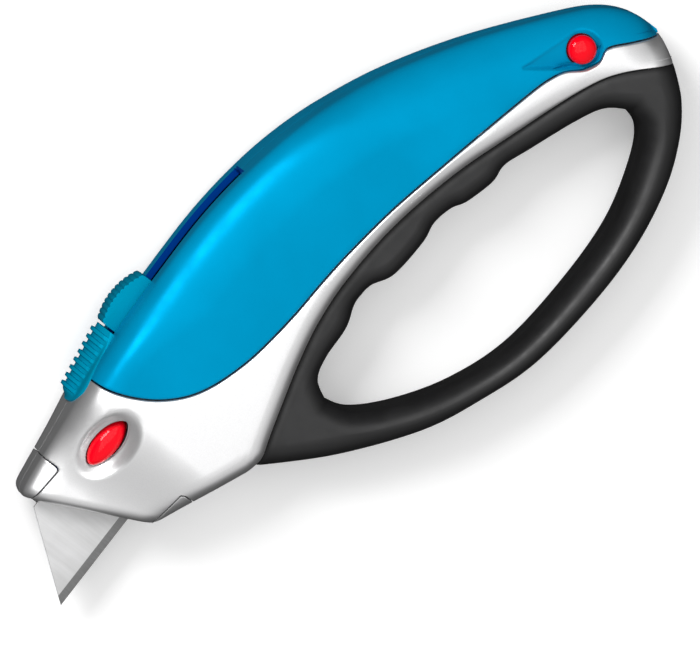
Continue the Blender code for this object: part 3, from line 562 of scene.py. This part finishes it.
def oval_level(centre, size):
    """Distance to an oval button hole, negative inside it."""
    width, height, sharp = size

    def level(p):
        u, v = (p[:, 0] - centre[0]) / (width / 2), (p[:, 1] - centre[1]) / (height / 2)
        bearing = np.abs(u) / np.maximum(np.hypot(u, v), 1e-9)
        return (np.hypot(u, v / (1 - sharp * bearing ** 3)) - 1) * min(width, height) / 2

    return level


def seam_distance(p):
    return distance_to(SEAM_PATH, p) - SEAM_GAP


def side_faces():
    """The plan mesh of one whole side, parted along the seam: points, cover faces and silver faces."""
    lower_edge = np.vstack([BELLY_PATH, GRIP_PATH[1:]])
    start = np.array([0, 0.05, 0.15, 0.3, 0.55, 0.9, 1.3, 1.8, 2.4]) / 180.0
    steps = np.concatenate([start, np.linspace(2.9 / 180.0, 1, 390)])
    points, faces = quads_of(strip(along(lower_edge, steps), along(BACK_PATH, steps)))
    region = list(map(tuple, SEAM_PATH)) + [(112, -25), (112, 60), (-48, 60)]
    points, silver, blue = parted(points, faces, region_level(region), SEAM_GAP, ROLL)
    return points, blue, silver


SIDE_POINTS, BLUE_FACES, SILVER_FACES = side_faces()


def cover(name, half, side, hole=None):
    """A blue cover: seam edge rolled and skirted, back edge carried over the spine to the slot."""
    points, faces = SIDE_POINTS, BLUE_FACES
    if hole:
        points, faces = ringed(points, faces, lambda p: teardrop_inside(p)[0], TEARDROP_ROWS)
        points, faces, _ = parted(points, faces, hole, 0.0, HOLE_ROLL)

    def height(p):
        z = half(p) - rolled(seam_distance(p))
        return z - rolled(hole(p), HOLE_ROLL) if hole else z

    def floor(p, z):
        end = np.where(p[:, 0] < SLOT_REAR, SLOT_HALF, 0.08)
        return np.where(distance_to(BLUE_BACK_PATH, p) < 0.02, np.minimum(end, z), z - SKIRT)

    return sheet(name, points, faces, height, floor, 5, side)


def silver_half(name, half, side, hole=None):
    """A silver half with its part of the nose insert: the half, the cap and the tab."""
    points, faces = SIDE_POINTS, SILVER_FACES
    if hole:
        points, faces = ringed(points, faces, dish_radius, DISH_ROWS)
        points, faces, _ = parted(points, faces, hole, 0.0, HOLE_ROLL)
    cap_level, tab_level = region_level(CAP), region_level(TAB)
    points, faces, cap = parted(points, faces, cap_level, CAP_SEAM, SEAM_ROLL)
    points, faces, tab = parted(points, faces, tab_level, TAB_SEAM, SEAM_ROLL)

    def height(p):
        z = half(p) - rolled(seam_distance(p))
        z -= (rolled(np.abs(cap_level(p)) - CAP_SEAM, SEAM_ROLL)
              + rolled(np.abs(tab_level(p)) - TAB_SEAM, SEAM_ROLL))
        return z - rolled(hole(p), HOLE_ROLL) if hole else z

    def floor(p, z):
        outer = np.minimum(np.minimum(distance_to(NOSE_BACK_PATH, p), distance_to(BELLY_PATH, p)),
                           distance_to(TAIL_PATH, p))
        low = np.where(outer < 0.02, 0.08, z - SKIRT)
        return np.where(distance_to(FRONT_PATH, p) < 0.02, np.minimum(z, 3.3), low)

    return [sheet(name + part, points, which, height, floor, 5, side, wall)
            for part, which, wall in (("", faces, WALL), ("_cap", cap, CAP_WALL), ("_tab", tab, TAB_WALL))]


# ---------------------------------------------------------------- nose

def guide_block():
    """The block behind the mouth of the nose, with the slit that the blade runs in."""
    outline = [(-77.0, 31.2), (-71.0, 31.0), (-61.4, 7.0), (-65.4, 6.6)]
    block = slab("guide_block", outline, -3.1, 3.1)
    boolean(block, "DIFFERENCE", box("slit", (-100, 9.0, -0.5), (-40, 29.0, 0.5)))
    return bevel(block, 0.35)


# ---------------------------------------------------------------- finger loop

def grip(name, side):
    """One rubber half of the finger loop."""
    top = shifted(GRIP_PATH, -0.32)
    outer = np.vstack([along(top, np.linspace(0, 1, 261)[:-1]), along(BOW_PATH, np.linspace(0, 1, 241)[:-1])])
    inner = np.vstack([along(FINGER_PATH, np.linspace(0, 1, 261)[:-1]),
                       along(BOW_SIDE_PATH, np.linspace(0, 1, 241)[:-1])])
    plan = strip(outer, inner)
    height = loop_half(plan)
    low = 0.07
    steps = np.linspace(0, 1, 5)[None, :-1]
    outside = low + (height[:, :1] - low) * steps
    inside = height[:, -1:] + (low - height[:, -1:]) * np.linspace(0, 1, 5)[None, 1:]
    closing = column(outer, np.full((len(outer), 1), low))
    columns = [column(outer, outside), lifted(plan, height), column(inner, inside), closing]
    grid = np.concatenate(columns, axis=1)
    return smooth(grid_mesh(name, grid, side=side), 50)


# ---------------------------------------------------------------- thumb pieces

REST_EDGE = [(-37.0, 5.2), (-42.0, 6.6), (-47.5, 8.5), (-50.0, 9.0), (-52.0, 8.4), (-53.8, 6.0), (-54.7, 3.4),
             (-55.1, 0.6)]
REST_CROWN, REST_CROWN_X, REST_SLOPE, REST_TIP_DROP = 42.65, -38.5, 0.168, 1.9
REST_ARCH, REST_ARCH_HALF, REST_LIP = 2.7, 5.0, 0.42
REST_RIBS, RIB_FIRST, RIB_PITCH, RIB_HEIGHT = 8, -38.8, 1.95, 0.85
KNOB_FRONT, KNOB_REAR, KNOB_BASE, KNOB_EDGE, KNOB_TOP, KNOB_HALF = -36.4, -22.3, 39.0, 41.5, 44.0, 3.6
SCALLOPS, SCALLOP_DEPTH = 11, 0.36


def back_surface(x, z):
    """Height of the back of the body at a station and a distance from the mid-plane."""
    back = np.interp(x, BACK_PATH[:, 0], BACK_PATH[:, 1])
    spine = front_spine(x)
    share = np.clip((np.abs(z) - spine) / (crown(x) - spine), 0, 1)
    return back - front_shoulder(x) * (1 - np.sqrt(1 - share * share))


def thumb_rest():
    """The fixed pad: an arch with eight raised bars, running out in a lip along the back."""
    edge = spline(REST_EDGE)
    x = np.linspace(REST_EDGE[0][0], REST_EDGE[-1][0], 300)
    half = np.interp(-x, -edge[:, 0], edge[:, 1])
    t = np.linspace(-1, 1, 61)
    z = half[:, None] * t[None]
    x = np.repeat(x[:, None], len(t), axis=1)
    tip = REST_TIP_DROP * smooth_step(-53.0, REST_EDGE[-1][0], x)
    arch = REST_CROWN + (x - REST_CROWN_X) * REST_SLOPE - tip - REST_ARCH * np.abs(z / REST_ARCH_HALF) ** 2.2
    phase = (RIB_FIRST - x) / RIB_PITCH
    nearest = np.clip(np.round(phase), 0, REST_RIBS - 1)
    bar = smooth_step(0.31, 0.19, np.abs(phase - nearest)) * smooth_step(5.35, 4.9, np.abs(z))
    low = back_surface(x, z)
    lip = low + REST_LIP * np.sqrt(np.maximum(0, 1 - np.abs(t[None]) ** 12))
    blend = 0.5
    top = np.logaddexp((arch + RIB_HEIGHT * bar) / blend, lip / blend) * blend
    top = np.where(np.abs(t[None]) > 0.999, low + 0.02, top)
    upper = np.stack([x, top, z], axis=-1)
    lower = np.stack([x, low - 0.05, z], axis=-1)[:, ::-1]
    pad = grid_mesh("thumb_pad", np.concatenate([upper, lower, upper[:, :1]], axis=1), ring=False)
    keel = box("rest_keel", (-49.2, 34.5, -2.0), (-38.4, 40.0, 2.0))
    return smooth(joined(pad, keel), 42)


def thumb_slide():
    """The knob: an arched back with scallops, its sides running down into the slot, and its stem."""
    points = [(KNOB_REAR, KNOB_BASE), (KNOB_FRONT, KNOB_BASE), (KNOB_FRONT, KNOB_EDGE + 0.1)]
    per = 10
    for i in range(SCALLOPS):
        for k in range(per):
            t = (i + k / per) / SCALLOPS
            rise = math.sin(math.pi * min(1.0, 0.1 + t * 0.88)) ** 0.7
            lobe = SCALLOP_DEPTH * math.sqrt(max(0.0, math.sin(math.pi * k / per)))
            x = KNOB_FRONT + (KNOB_REAR - KNOB_FRONT) * t + 0.02
            points.append((x, KNOB_EDGE + (KNOB_TOP - KNOB_EDGE - 0.1) * rise + lobe))
    points.append((KNOB_REAR, KNOB_EDGE - 0.1))
    knob = bevel(slab("thumb_knob", points, -KNOB_HALF, KNOB_HALF), 0.3, 3, 50)
    stem = box("knob_stem", (-34.0, 34.4, -2.4), (-25.0, 39.5, 2.4))
    return smooth(joined(knob, stem), 32)


# ---------------------------------------------------------------- buttons

def dome(name, centre, size, low, edge, crest, sharp, flange):
    """A glossy push button: skirt, rounded crest and a flange below."""
    bm = bmesh.new()
    profile = [(1.0, low), (1.0, edge - 0.3)]
    steps = 22
    for k in range(steps):
        angle = math.pi / 2 * k / steps
        profile.append((math.cos(angle) ** 0.9, edge + (crest - edge) * math.sin(angle) ** 0.95))
    rings = []
    for scale, z in profile:
        outline = oval(centre, (size[0] * scale, size[1] * scale), sharp)
        rings.append([bm.verts.new((x, y, z)) for x, y in outline])
    for a, b in zip(rings, rings[1:]):
        for i in range(len(a)):
            j = (i + 1) % len(a)
            bm.faces.new((a[i], a[j], b[j], b[i]))
    bm.faces.new(rings[0])
    bm.faces.new(rings[-1])
    button = bm_object(name, bm)
    joined(button, slab(name + "_flange", oval(centre, flange, sharp * 0.7), low - 0.5, low + 0.4))
    return smooth(button, 40)


# ---------------------------------------------------------------- springs

def design_box(node):
    """The corners of a CAD node's box in design millimetres."""
    return [(Vector(corner) - ORIGIN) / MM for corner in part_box(node)]


def coil_spring(name, node, wire, turns):
    """A round wire coil, as high and as wide as the CAD spring, with a flat turn at each end."""
    low, high = design_box(node)
    middle = (low + high) / 2
    radius = (high.x - low.x) / 2 - wire
    steps = 28
    curve = bpy.data.curves.new(name, "CURVE")
    curve.dimensions = "3D"
    path = curve.splines.new("POLY")
    count = int(turns * steps) + 1
    path.points.add(count - 1)
    for i in range(count):
        angle = 2 * math.pi * i / steps
        rise = smooth_step(0.12, 0.88, i / (count - 1))
        z = low.z + wire + (high.z - low.z - 2 * wire) * rise
        point = Vector((middle.x + radius * math.cos(angle), middle.y + radius * math.sin(angle), z))
        path.points[i].co = (*(point * MM + ORIGIN), 1)
    curve.bevel_depth = wire * MM
    curve.bevel_resolution = 3
    curve.use_fill_caps = True
    obj = bpy.data.objects.new(name + "_path", curve)
    bpy.context.scene.collection.objects.link(obj)
    bpy.context.view_layer.update()
    mesh = bpy.data.meshes.new_from_object(obj.evaluated_get(bpy.context.evaluated_depsgraph_get()))
    bpy.data.objects.remove(obj)
    return smooth(link(name, mesh), 50)


def leaf_spring(name, node, thickness=0.3):
    """A bowed leaf, as long and as high as the CAD spring."""
    low, high = design_box(node)
    steps = 28
    points = []
    for i in range(steps + 1):
        rise = (high.y - low.y - thickness) * math.sin(math.pi * i / steps)
        points.append((low.x + (high.x - low.x) * i / steps, low.y + rise))
    points += [(x, y + thickness) for x, y in reversed(points)]
    return smooth(slab(name, points, low.z, high.z), 40)


def pressed(piece):
    """Give a spring a mesh of its own."""
    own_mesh(piece)


def springs():
    release = coil_spring("release_coil", "release_spring", 0.2, 3.5)
    stand(release, "spring", "knife_body", "spring_steel", "release_spring")
    pressed(release)
    store = coil_spring("store_coil", "store_spring", 0.22, 3.0)
    stand(store, "spring", "hatch", "spring_steel", "store_spring")
    pressed(store)
    leaf = leaf_spring("slide_leaf", "slide_spring")
    stand(leaf, "spring", "thumb", "spring_steel", "slide_spring")
    pressed(leaf)


# ---------------------------------------------------------------- blades

def blade(name):
    """A trapezoid blade: flat body with two notches, and a ground bevel on both sides of its edge."""
    x, y = BLADE_TIP
    slope = BLADE_RUN / BLADE_HEIGHT * BLADE_BEVEL
    top = []
    middle = x + BLADE_LENGTH / 2
    for centre in (middle + NOTCH_SPACING / 2, middle - NOTCH_SPACING / 2):
        for k in range(17):
            angle = -math.pi * k / 16
            top.append((centre + NOTCH_RADIUS * math.cos(angle),
                        y + BLADE_HEIGHT + NOTCH_RADIUS * math.sin(angle)))
    outline = [(x + slope, y + BLADE_BEVEL), (x + BLADE_LENGTH - slope, y + BLADE_BEVEL),
               (x + BLADE_LENGTH - BLADE_RUN, y + BLADE_HEIGHT)] + top + [(x + BLADE_RUN, y + BLADE_HEIGHT)]
    half = BLADE_THICK / 2
    bm = bmesh.new()
    rings = []
    for level in (-half, half):
        rings.append([bm.verts.new((px, py, level)) for px, py in outline])
        bm.faces.new(rings[-1])
    edge = [bm.verts.new((x, y, 0.0)), bm.verts.new((x + BLADE_LENGTH, y, 0.0))]
    count = len(outline)
    for i in range(1, count):
        j = (i + 1) % count
        bm.faces.new((rings[0][i], rings[0][j], rings[1][j], rings[1][i]))
    for ring in rings:
        bm.faces.new((ring[0], ring[1], edge[1], edge[0]))
    bm.faces.new((rings[0][0], rings[1][0], edge[0]))
    bm.faces.new((rings[0][1], rings[1][1], edge[1]))
    return smooth(bm_object(name, bm), 15)


# ---------------------------------------------------------------- materials

def nodes_of(name):
    mat = bpy.data.materials.new(name)
    mat.use_nodes = True
    tree = mat.node_tree
    return mat, tree, tree.nodes["Principled BSDF"]


def noise(tree, scale, detail=4.0, roughness=0.5, stretch=None):
    """Noise in object space, with an optional stretch along each axis."""
    coords = tree.nodes.new("ShaderNodeTexCoord")
    texture = tree.nodes.new("ShaderNodeTexNoise")
    texture.inputs["Scale"].default_value = scale
    texture.inputs["Detail"].default_value = detail
    texture.inputs["Roughness"].default_value = roughness
    source = coords.outputs["Object"]
    if stretch:
        mapping = tree.nodes.new("ShaderNodeMapping")
        mapping.inputs["Scale"].default_value = stretch
        tree.links.new(source, mapping.inputs["Vector"])
        source = mapping.outputs["Vector"]
    tree.links.new(source, texture.inputs["Vector"])
    return texture.outputs["Fac"]


def ramp(tree, source, stops):
    node = tree.nodes.new("ShaderNodeValToRGB")
    elements = node.color_ramp.elements
    while len(elements) < len(stops):
        elements.new(0.5)
    for element, (position, colour) in zip(elements, stops):
        element.position = position
        element.color = (*colour, 1)
    tree.links.new(source, node.inputs["Fac"])
    return node.outputs["Color"]


def spread(tree, source, low, high):
    node = tree.nodes.new("ShaderNodeMapRange")
    node.inputs["From Min"].default_value = 0.3
    node.inputs["From Max"].default_value = 0.7
    node.inputs["To Min"].default_value = low
    node.inputs["To Max"].default_value = high
    tree.links.new(source, node.inputs["Value"])
    return node.outputs["Result"]


def bump(tree, shader, source, strength, depth):
    node = tree.nodes.new("ShaderNodeBump")
    node.inputs["Strength"].default_value = strength
    node.inputs["Distance"].default_value = depth * MM
    tree.links.new(source, node.inputs["Height"])
    tree.links.new(node.outputs["Normal"], shader.inputs["Normal"])


def tint(colour, factor):
    return tuple(min(1.0, c * factor) for c in colour)


def plastic(name, colour, roughness, coat, grain=2600, strength=0.12, shine=0.5):
    """Moulded plastic: faint colour drift, fine moulding grain and uneven gloss."""
    mat, tree, shader = nodes_of(name)
    drift = noise(tree, 45, 3)
    tree.links.new(ramp(tree, drift, [(0.35, tint(colour, 0.94)), (0.65, tint(colour, 1.05))]),
                   shader.inputs["Base Color"])
    gloss = spread(tree, noise(tree, 160, 5), roughness * 0.85, roughness * 1.2)
    tree.links.new(gloss, shader.inputs["Roughness"])
    bump(tree, shader, noise(tree, grain, 3), strength, 0.02)
    shader.inputs["Coat Weight"].default_value = coat
    shader.inputs["Coat Roughness"].default_value = 0.08
    shader.inputs["Specular IOR Level"].default_value = shine
    shader.inputs["Specular Tint"].default_value = (*tint(colour, 1 / max(colour)), 1)
    return mat


def silver_paint(name):
    """Satin silver with a fine metal flake."""
    mat, tree, shader = nodes_of(name)
    flake = noise(tree, 5200, 2, 0.7)
    base = (0.90, 0.90, 0.905)
    tree.links.new(ramp(tree, flake, [(0.3, tint(base, 0.95)), (0.7, tint(base, 1.04))]),
                   shader.inputs["Base Color"])
    tree.links.new(spread(tree, noise(tree, 120, 5), 0.30, 0.38), shader.inputs["Roughness"])
    bump(tree, shader, noise(tree, 1500, 3), 0.08, 0.02)
    shader.inputs["Metallic"].default_value = 0.8
    return mat


def rubber(name):
    """Soft black overmould with a fine sparked texture."""
    mat, tree, shader = nodes_of(name)
    stops = [(0.3, (0.010, 0.010, 0.0105)), (0.7, (0.016, 0.016, 0.0165))]
    tree.links.new(ramp(tree, noise(tree, 60, 4), stops), shader.inputs["Base Color"])
    tree.links.new(spread(tree, noise(tree, 300, 4), 0.42, 0.55), shader.inputs["Roughness"])
    bump(tree, shader, noise(tree, 3200, 2, 0.6), 0.35, 0.03)
    return mat


def ground_steel(name, colour=(0.60, 0.60, 0.61), low=0.24, high=0.4, stretch=(1, 14, 1), scale=900):
    """Steel with fine grinding lines across one direction."""
    mat, tree, shader = nodes_of(name)
    lines = noise(tree, scale, 5, 0.6, stretch)
    tree.links.new(ramp(tree, lines, [(0.3, tint(colour, 0.85)), (0.7, tint(colour, 1.12))]),
                   shader.inputs["Base Color"])
    tree.links.new(spread(tree, lines, low, high), shader.inputs["Roughness"])
    bump(tree, shader, lines, 0.15, 0.01)
    shader.inputs["Metallic"].default_value = 1.0
    return mat


def blade_steel(name):
    """Ground blade steel: satin flats, and a darker bevel with its grinding lines across the edge."""
    mat, tree, shader = nodes_of(name)
    lines = noise(tree, 700, 5, 0.6, (1, 0.06, 1))
    patina = noise(tree, 70, 5, 0.6)
    mix = tree.nodes.new("ShaderNodeMath")
    mix.operation = "ADD"
    tree.links.new(lines, mix.inputs[0])
    tree.links.new(patina, mix.inputs[1])
    half = tree.nodes.new("ShaderNodeMath")
    half.operation = "MULTIPLY"
    half.inputs[1].default_value = 0.5
    tree.links.new(mix.outputs[0], half.inputs[0])
    tree.links.new(ramp(tree, half.outputs[0], [(0.35, (0.62, 0.62, 0.62)), (0.65, (0.74, 0.74, 0.745))]),
                   shader.inputs["Base Color"])
    tree.links.new(spread(tree, half.outputs[0], 0.30, 0.46), shader.inputs["Roughness"])
    bump(tree, shader, lines, 0.08, 0.01)
    shader.inputs["Metallic"].default_value = 0.35
    return mat


def backdrop_paper():
    mat, tree, shader = nodes_of("paper")
    shader.inputs["Base Color"].default_value = (0.94, 0.94, 0.94, 1)
    shader.inputs["Emission Color"].default_value = (1, 1, 1, 1)
    shader.inputs["Emission Strength"].default_value = 0.2
    shader.inputs["Roughness"].default_value = 0.9
    shader.inputs["Specular IOR Level"].default_value = 0.1
    return mat


def paint(obj, mat):
    obj.data.materials.clear()
    obj.data.materials.append(mat)
    return obj


# ---------------------------------------------------------------- the model

MATERIALS = {
    "silver": silver_paint("silver_paint"),
    "blue": plastic("blue_gloss", (0.0, 0.25, 0.46), 0.34, 0.0, 2600, 0.1, 1.0),
    # the covers' blue, a little darker as painted shade on the knob and the ribbed rest, with a satin gloss
    "blue_soft_shaded": plastic("blue_satin_painted_shade", (0.0, 0.25, 0.40), 0.42, 0.0),
    "rubber": rubber("black_rubber"),
    "core": plastic("black_core", (0.03, 0.03, 0.032), 0.5, 0.0),
    # dark inner blue: the chassis and carriage's own colour, and painted shade on the covers' slot walls
    "dark_blue": plastic("inner_blue", (0.0, 0.04, 0.26), 0.45, 0.0),
    "red": plastic("red_gloss", (0.95, 0.001, 0.012), 0.18, 0.35),
    "blade": blade_steel("blade_steel"),
    "bevel": ground_steel("ground_bevel", (0.27, 0.27, 0.27), 0.4, 0.6, (3, 0.3, 1)),
    "spring": ground_steel("spring_steel"),
    "screw": ground_steel("screw_steel", (0.45, 0.45, 0.46), 0.3, 0.5, (6, 6, 1)),
}


def stand(piece, material, body, slot, *nodes):
    """Give a piece its material and body, and let it stand for CAD nodes; its slot is not used."""
    paint(piece, MATERIALS[material])
    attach(piece, body)
    if nodes:
        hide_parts(*nodes)
    return piece


def second_material(piece, material, chosen):
    """Give the faces that are chosen by their centre and normal, in design millimetres, another material."""
    piece.data.materials.append(MATERIALS[material])
    for face in piece.data.polygons:
        if chosen((face.center - ORIGIN) / MM, face.normal):
            face.material_index = 1


def painted_slot_shade(centre, normal):
    """The slot's walls, and the underside of the spine beside them: cover faces that get the dark inner blue
    as painted shade.
    """
    if centre.x > SLOT_REAR + 0.3 or centre.y < 30:
        return False
    return abs(centre.z) < SLOT_HALF + 0.02 or (abs(centre.z) < 10 and normal.y < -0.2)


def on_bevel(centre, normal):
    """The two ground faces along the cutting edge."""
    return abs(normal.z) > 0.5 and centre.y < BLADE_TIP[1] + BLADE_BEVEL


def shells():
    left, *caps_left = silver_half("silver_left", left_half, 1, oval_level(FRONT_BUTTON, FRONT_HOLE))
    right, *caps_right = silver_half("silver_right", right_half, -1)
    guide = joined(guide_block(), *caps_left, *caps_right)
    blue_left = cover("blue_left", left_half, 1, oval_level(STORE_BUTTON, TAIL_HOLE))
    blue_right = cover("blue_right", right_half, -1)
    for obj in (left, right, guide, blue_left, blue_right):
        smooth(obj, 32)
    stand(left, "silver", "knife_body", "silver_body", "body_left")
    stand(right, "silver", "knife_body", "silver_body", "body_right")
    stand(guide, "silver", "knife_body", "silver_body", "nose_guide")
    stand(blue_left, "blue", "hatch", "blue_cover", "cover_left")
    stand(blue_right, "blue", "knife_body", "blue_cover", "cover_right")
    # the covers' slot walls and the spine's underside get the dark inner blue: painted shade in the slot
    second_material(blue_left, "dark_blue", painted_slot_shade)
    second_material(blue_right, "dark_blue", painted_slot_shade)


def small_pieces():
    stand(grip("grip_rubber_left", 1), "rubber", "knife_body", "black_grip", "grip_left")
    stand(grip("grip_rubber_right", -1), "rubber", "knife_body", "black_grip", "grip_right")
    # knob and rest: a darker copy of the covers' blue, painted shade
    stand(thumb_slide(), "blue_soft_shaded", "thumb", "blue_rest", "thumb_slide")
    stand(thumb_rest(), "blue_soft_shaded", "knife_body", "blue_rest", "thumb_rest")
    front = dome("front_button", FRONT_BUTTON, FRONT_BUTTON_SIZE, 5.0, 7.9, 10.2, 0.15, FRONT_FLANGE)
    stand(front, "red", "front_release", "red_button", "release_button")
    front.visible_glossy = False
    tail = dome("tail_button", STORE_BUTTON, STORE_BUTTON_SIZE, 4.8, 8.9, 10.6, 0.0, STORE_FLANGE)
    stand(tail, "red", "tail_release", "red_button", "store_button")
    cutting = stand(blade("cutting_blade"), "blade", "carriage", "blade_steel", "blade")
    second_material(cutting, "bevel", on_bevel)


CARRIED = {
    "dark_blue": ["chassis", "blade_carriage"],
    "core": ["loop_core"],
    "spring": ["blade_clip", "store_catch"],
    "blade": ["spare_blade_1", "spare_blade_2", "spare_blade_3", "spare_blade_4"],
    "screw": ["case_screw_belly", "case_screw_middle", "case_screw_back", "case_screw_tail"],
}


def carried_nodes():
    """Better materials for the CAD nodes that stay."""
    for material, names in CARRIED.items():
        for name in names:
            paint(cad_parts[name], MATERIALS[material])


# ---------------------------------------------------------------- stage, lights and camera

VIEW_TILT = math.radians(15.0)       # the view leans towards the knife's back
VIEW_ROLL = math.radians(52.2)       # the slide direction on the picture, above the horizontal
VIEW_WIDTH = 158.1 * MM              # what the picture is wide at the mid-plane
LENS, SENSOR = 420.0, 36.0


def view_axes():
    slide = Vector((1, 0, 0))
    up = Vector((0, math.cos(VIEW_TILT), -math.sin(VIEW_TILT)))
    back = Vector((0, math.sin(VIEW_TILT), math.cos(VIEW_TILT)))
    right = math.cos(VIEW_ROLL) * slide - math.sin(VIEW_ROLL) * up
    top = math.sin(VIEW_ROLL) * slide + math.cos(VIEW_ROLL) * up
    return right, top, back


def camera():
    right, top, back = view_axes()
    target = ORIGIN + Vector((-2.9, -3.8, 0)) * MM
    distance = VIEW_WIDTH * LENS / SENSOR
    data = bpy.data.cameras.new("camera")
    data.lens = LENS
    data.sensor_width = SENSOR
    data.clip_start = 0.01
    obj = bpy.data.objects.new("camera", data)
    bpy.context.scene.collection.objects.link(obj)
    turn = Matrix((right, top, back)).transposed().to_4x4()
    obj.matrix_world = Matrix.Translation(target + back * distance) @ turn
    bpy.context.scene.camera = obj


def area_light(name, towards, distance, size, power):
    """A square light at picture directions (right, top, back) from the knife."""
    right, top, back = view_axes()
    offset = (right * towards[0] + top * towards[1] + back * towards[2]).normalized() * distance
    data = bpy.data.lights.new(name, "AREA")
    data.shape = "SQUARE"
    data.size = size
    data.energy = power
    obj = bpy.data.objects.new(name, data)
    obj.location = ORIGIN + offset
    obj.rotation_euler = (-offset).to_track_quat("-Z", "Y").to_euler()
    bpy.context.scene.collection.objects.link(obj)


def stage():
    bm = bmesh.new()
    bmesh.ops.create_grid(bm, x_segments=1, y_segments=1, size=3.0)
    mesh = bpy.data.meshes.new("floor")
    bm.to_mesh(mesh)
    bm.free()
    floor = link("floor", mesh)
    floor.visible_diffuse = False
    floor.visible_glossy = False
    paint(floor, backdrop_paper())
    studio_sky()
    area_light("key", (-0.5, 0.5, 1.15), 0.9, 0.34, 5.6)
    area_light("top", (0.2, 0.1, 1.5), 1.0, 0.9, 3.6)


def studio_sky():
    """A soft sky: bright overhead and towards the knife's back, dim low on the other sides."""
    world = bpy.data.worlds.new("studio")
    world.use_nodes = True
    tree = world.node_tree
    background = tree.nodes["Background"]
    background.inputs["Strength"].default_value = 0.62
    coords = tree.nodes.new("ShaderNodeTexCoord")
    product = tree.nodes.new("ShaderNodeVectorMath")
    product.operation = "DOT_PRODUCT"
    product.inputs[1].default_value = Vector((-0.1, -0.3, 0.95)).normalized()
    tree.links.new(coords.outputs["Generated"], product.inputs[0])
    scale = tree.nodes.new("ShaderNodeMapRange")
    scale.inputs["From Min"].default_value = 0.0
    scale.inputs["From Max"].default_value = 1.0
    tree.links.new(product.outputs["Value"], scale.inputs["Value"])
    stops = [(place, (level, level, level))
             for place, level in ((0.0, 0.03), (0.35, 0.16), (0.75, 0.85), (1.0, 1.0))]
    tree.links.new(ramp(tree, scale.outputs["Result"], stops), background.inputs["Color"])
    bpy.context.scene.world = world


camera()
stage()
shells()
small_pieces()
springs()
carried_nodes()
bpy.context.scene.view_settings.view_transform = "Standard"
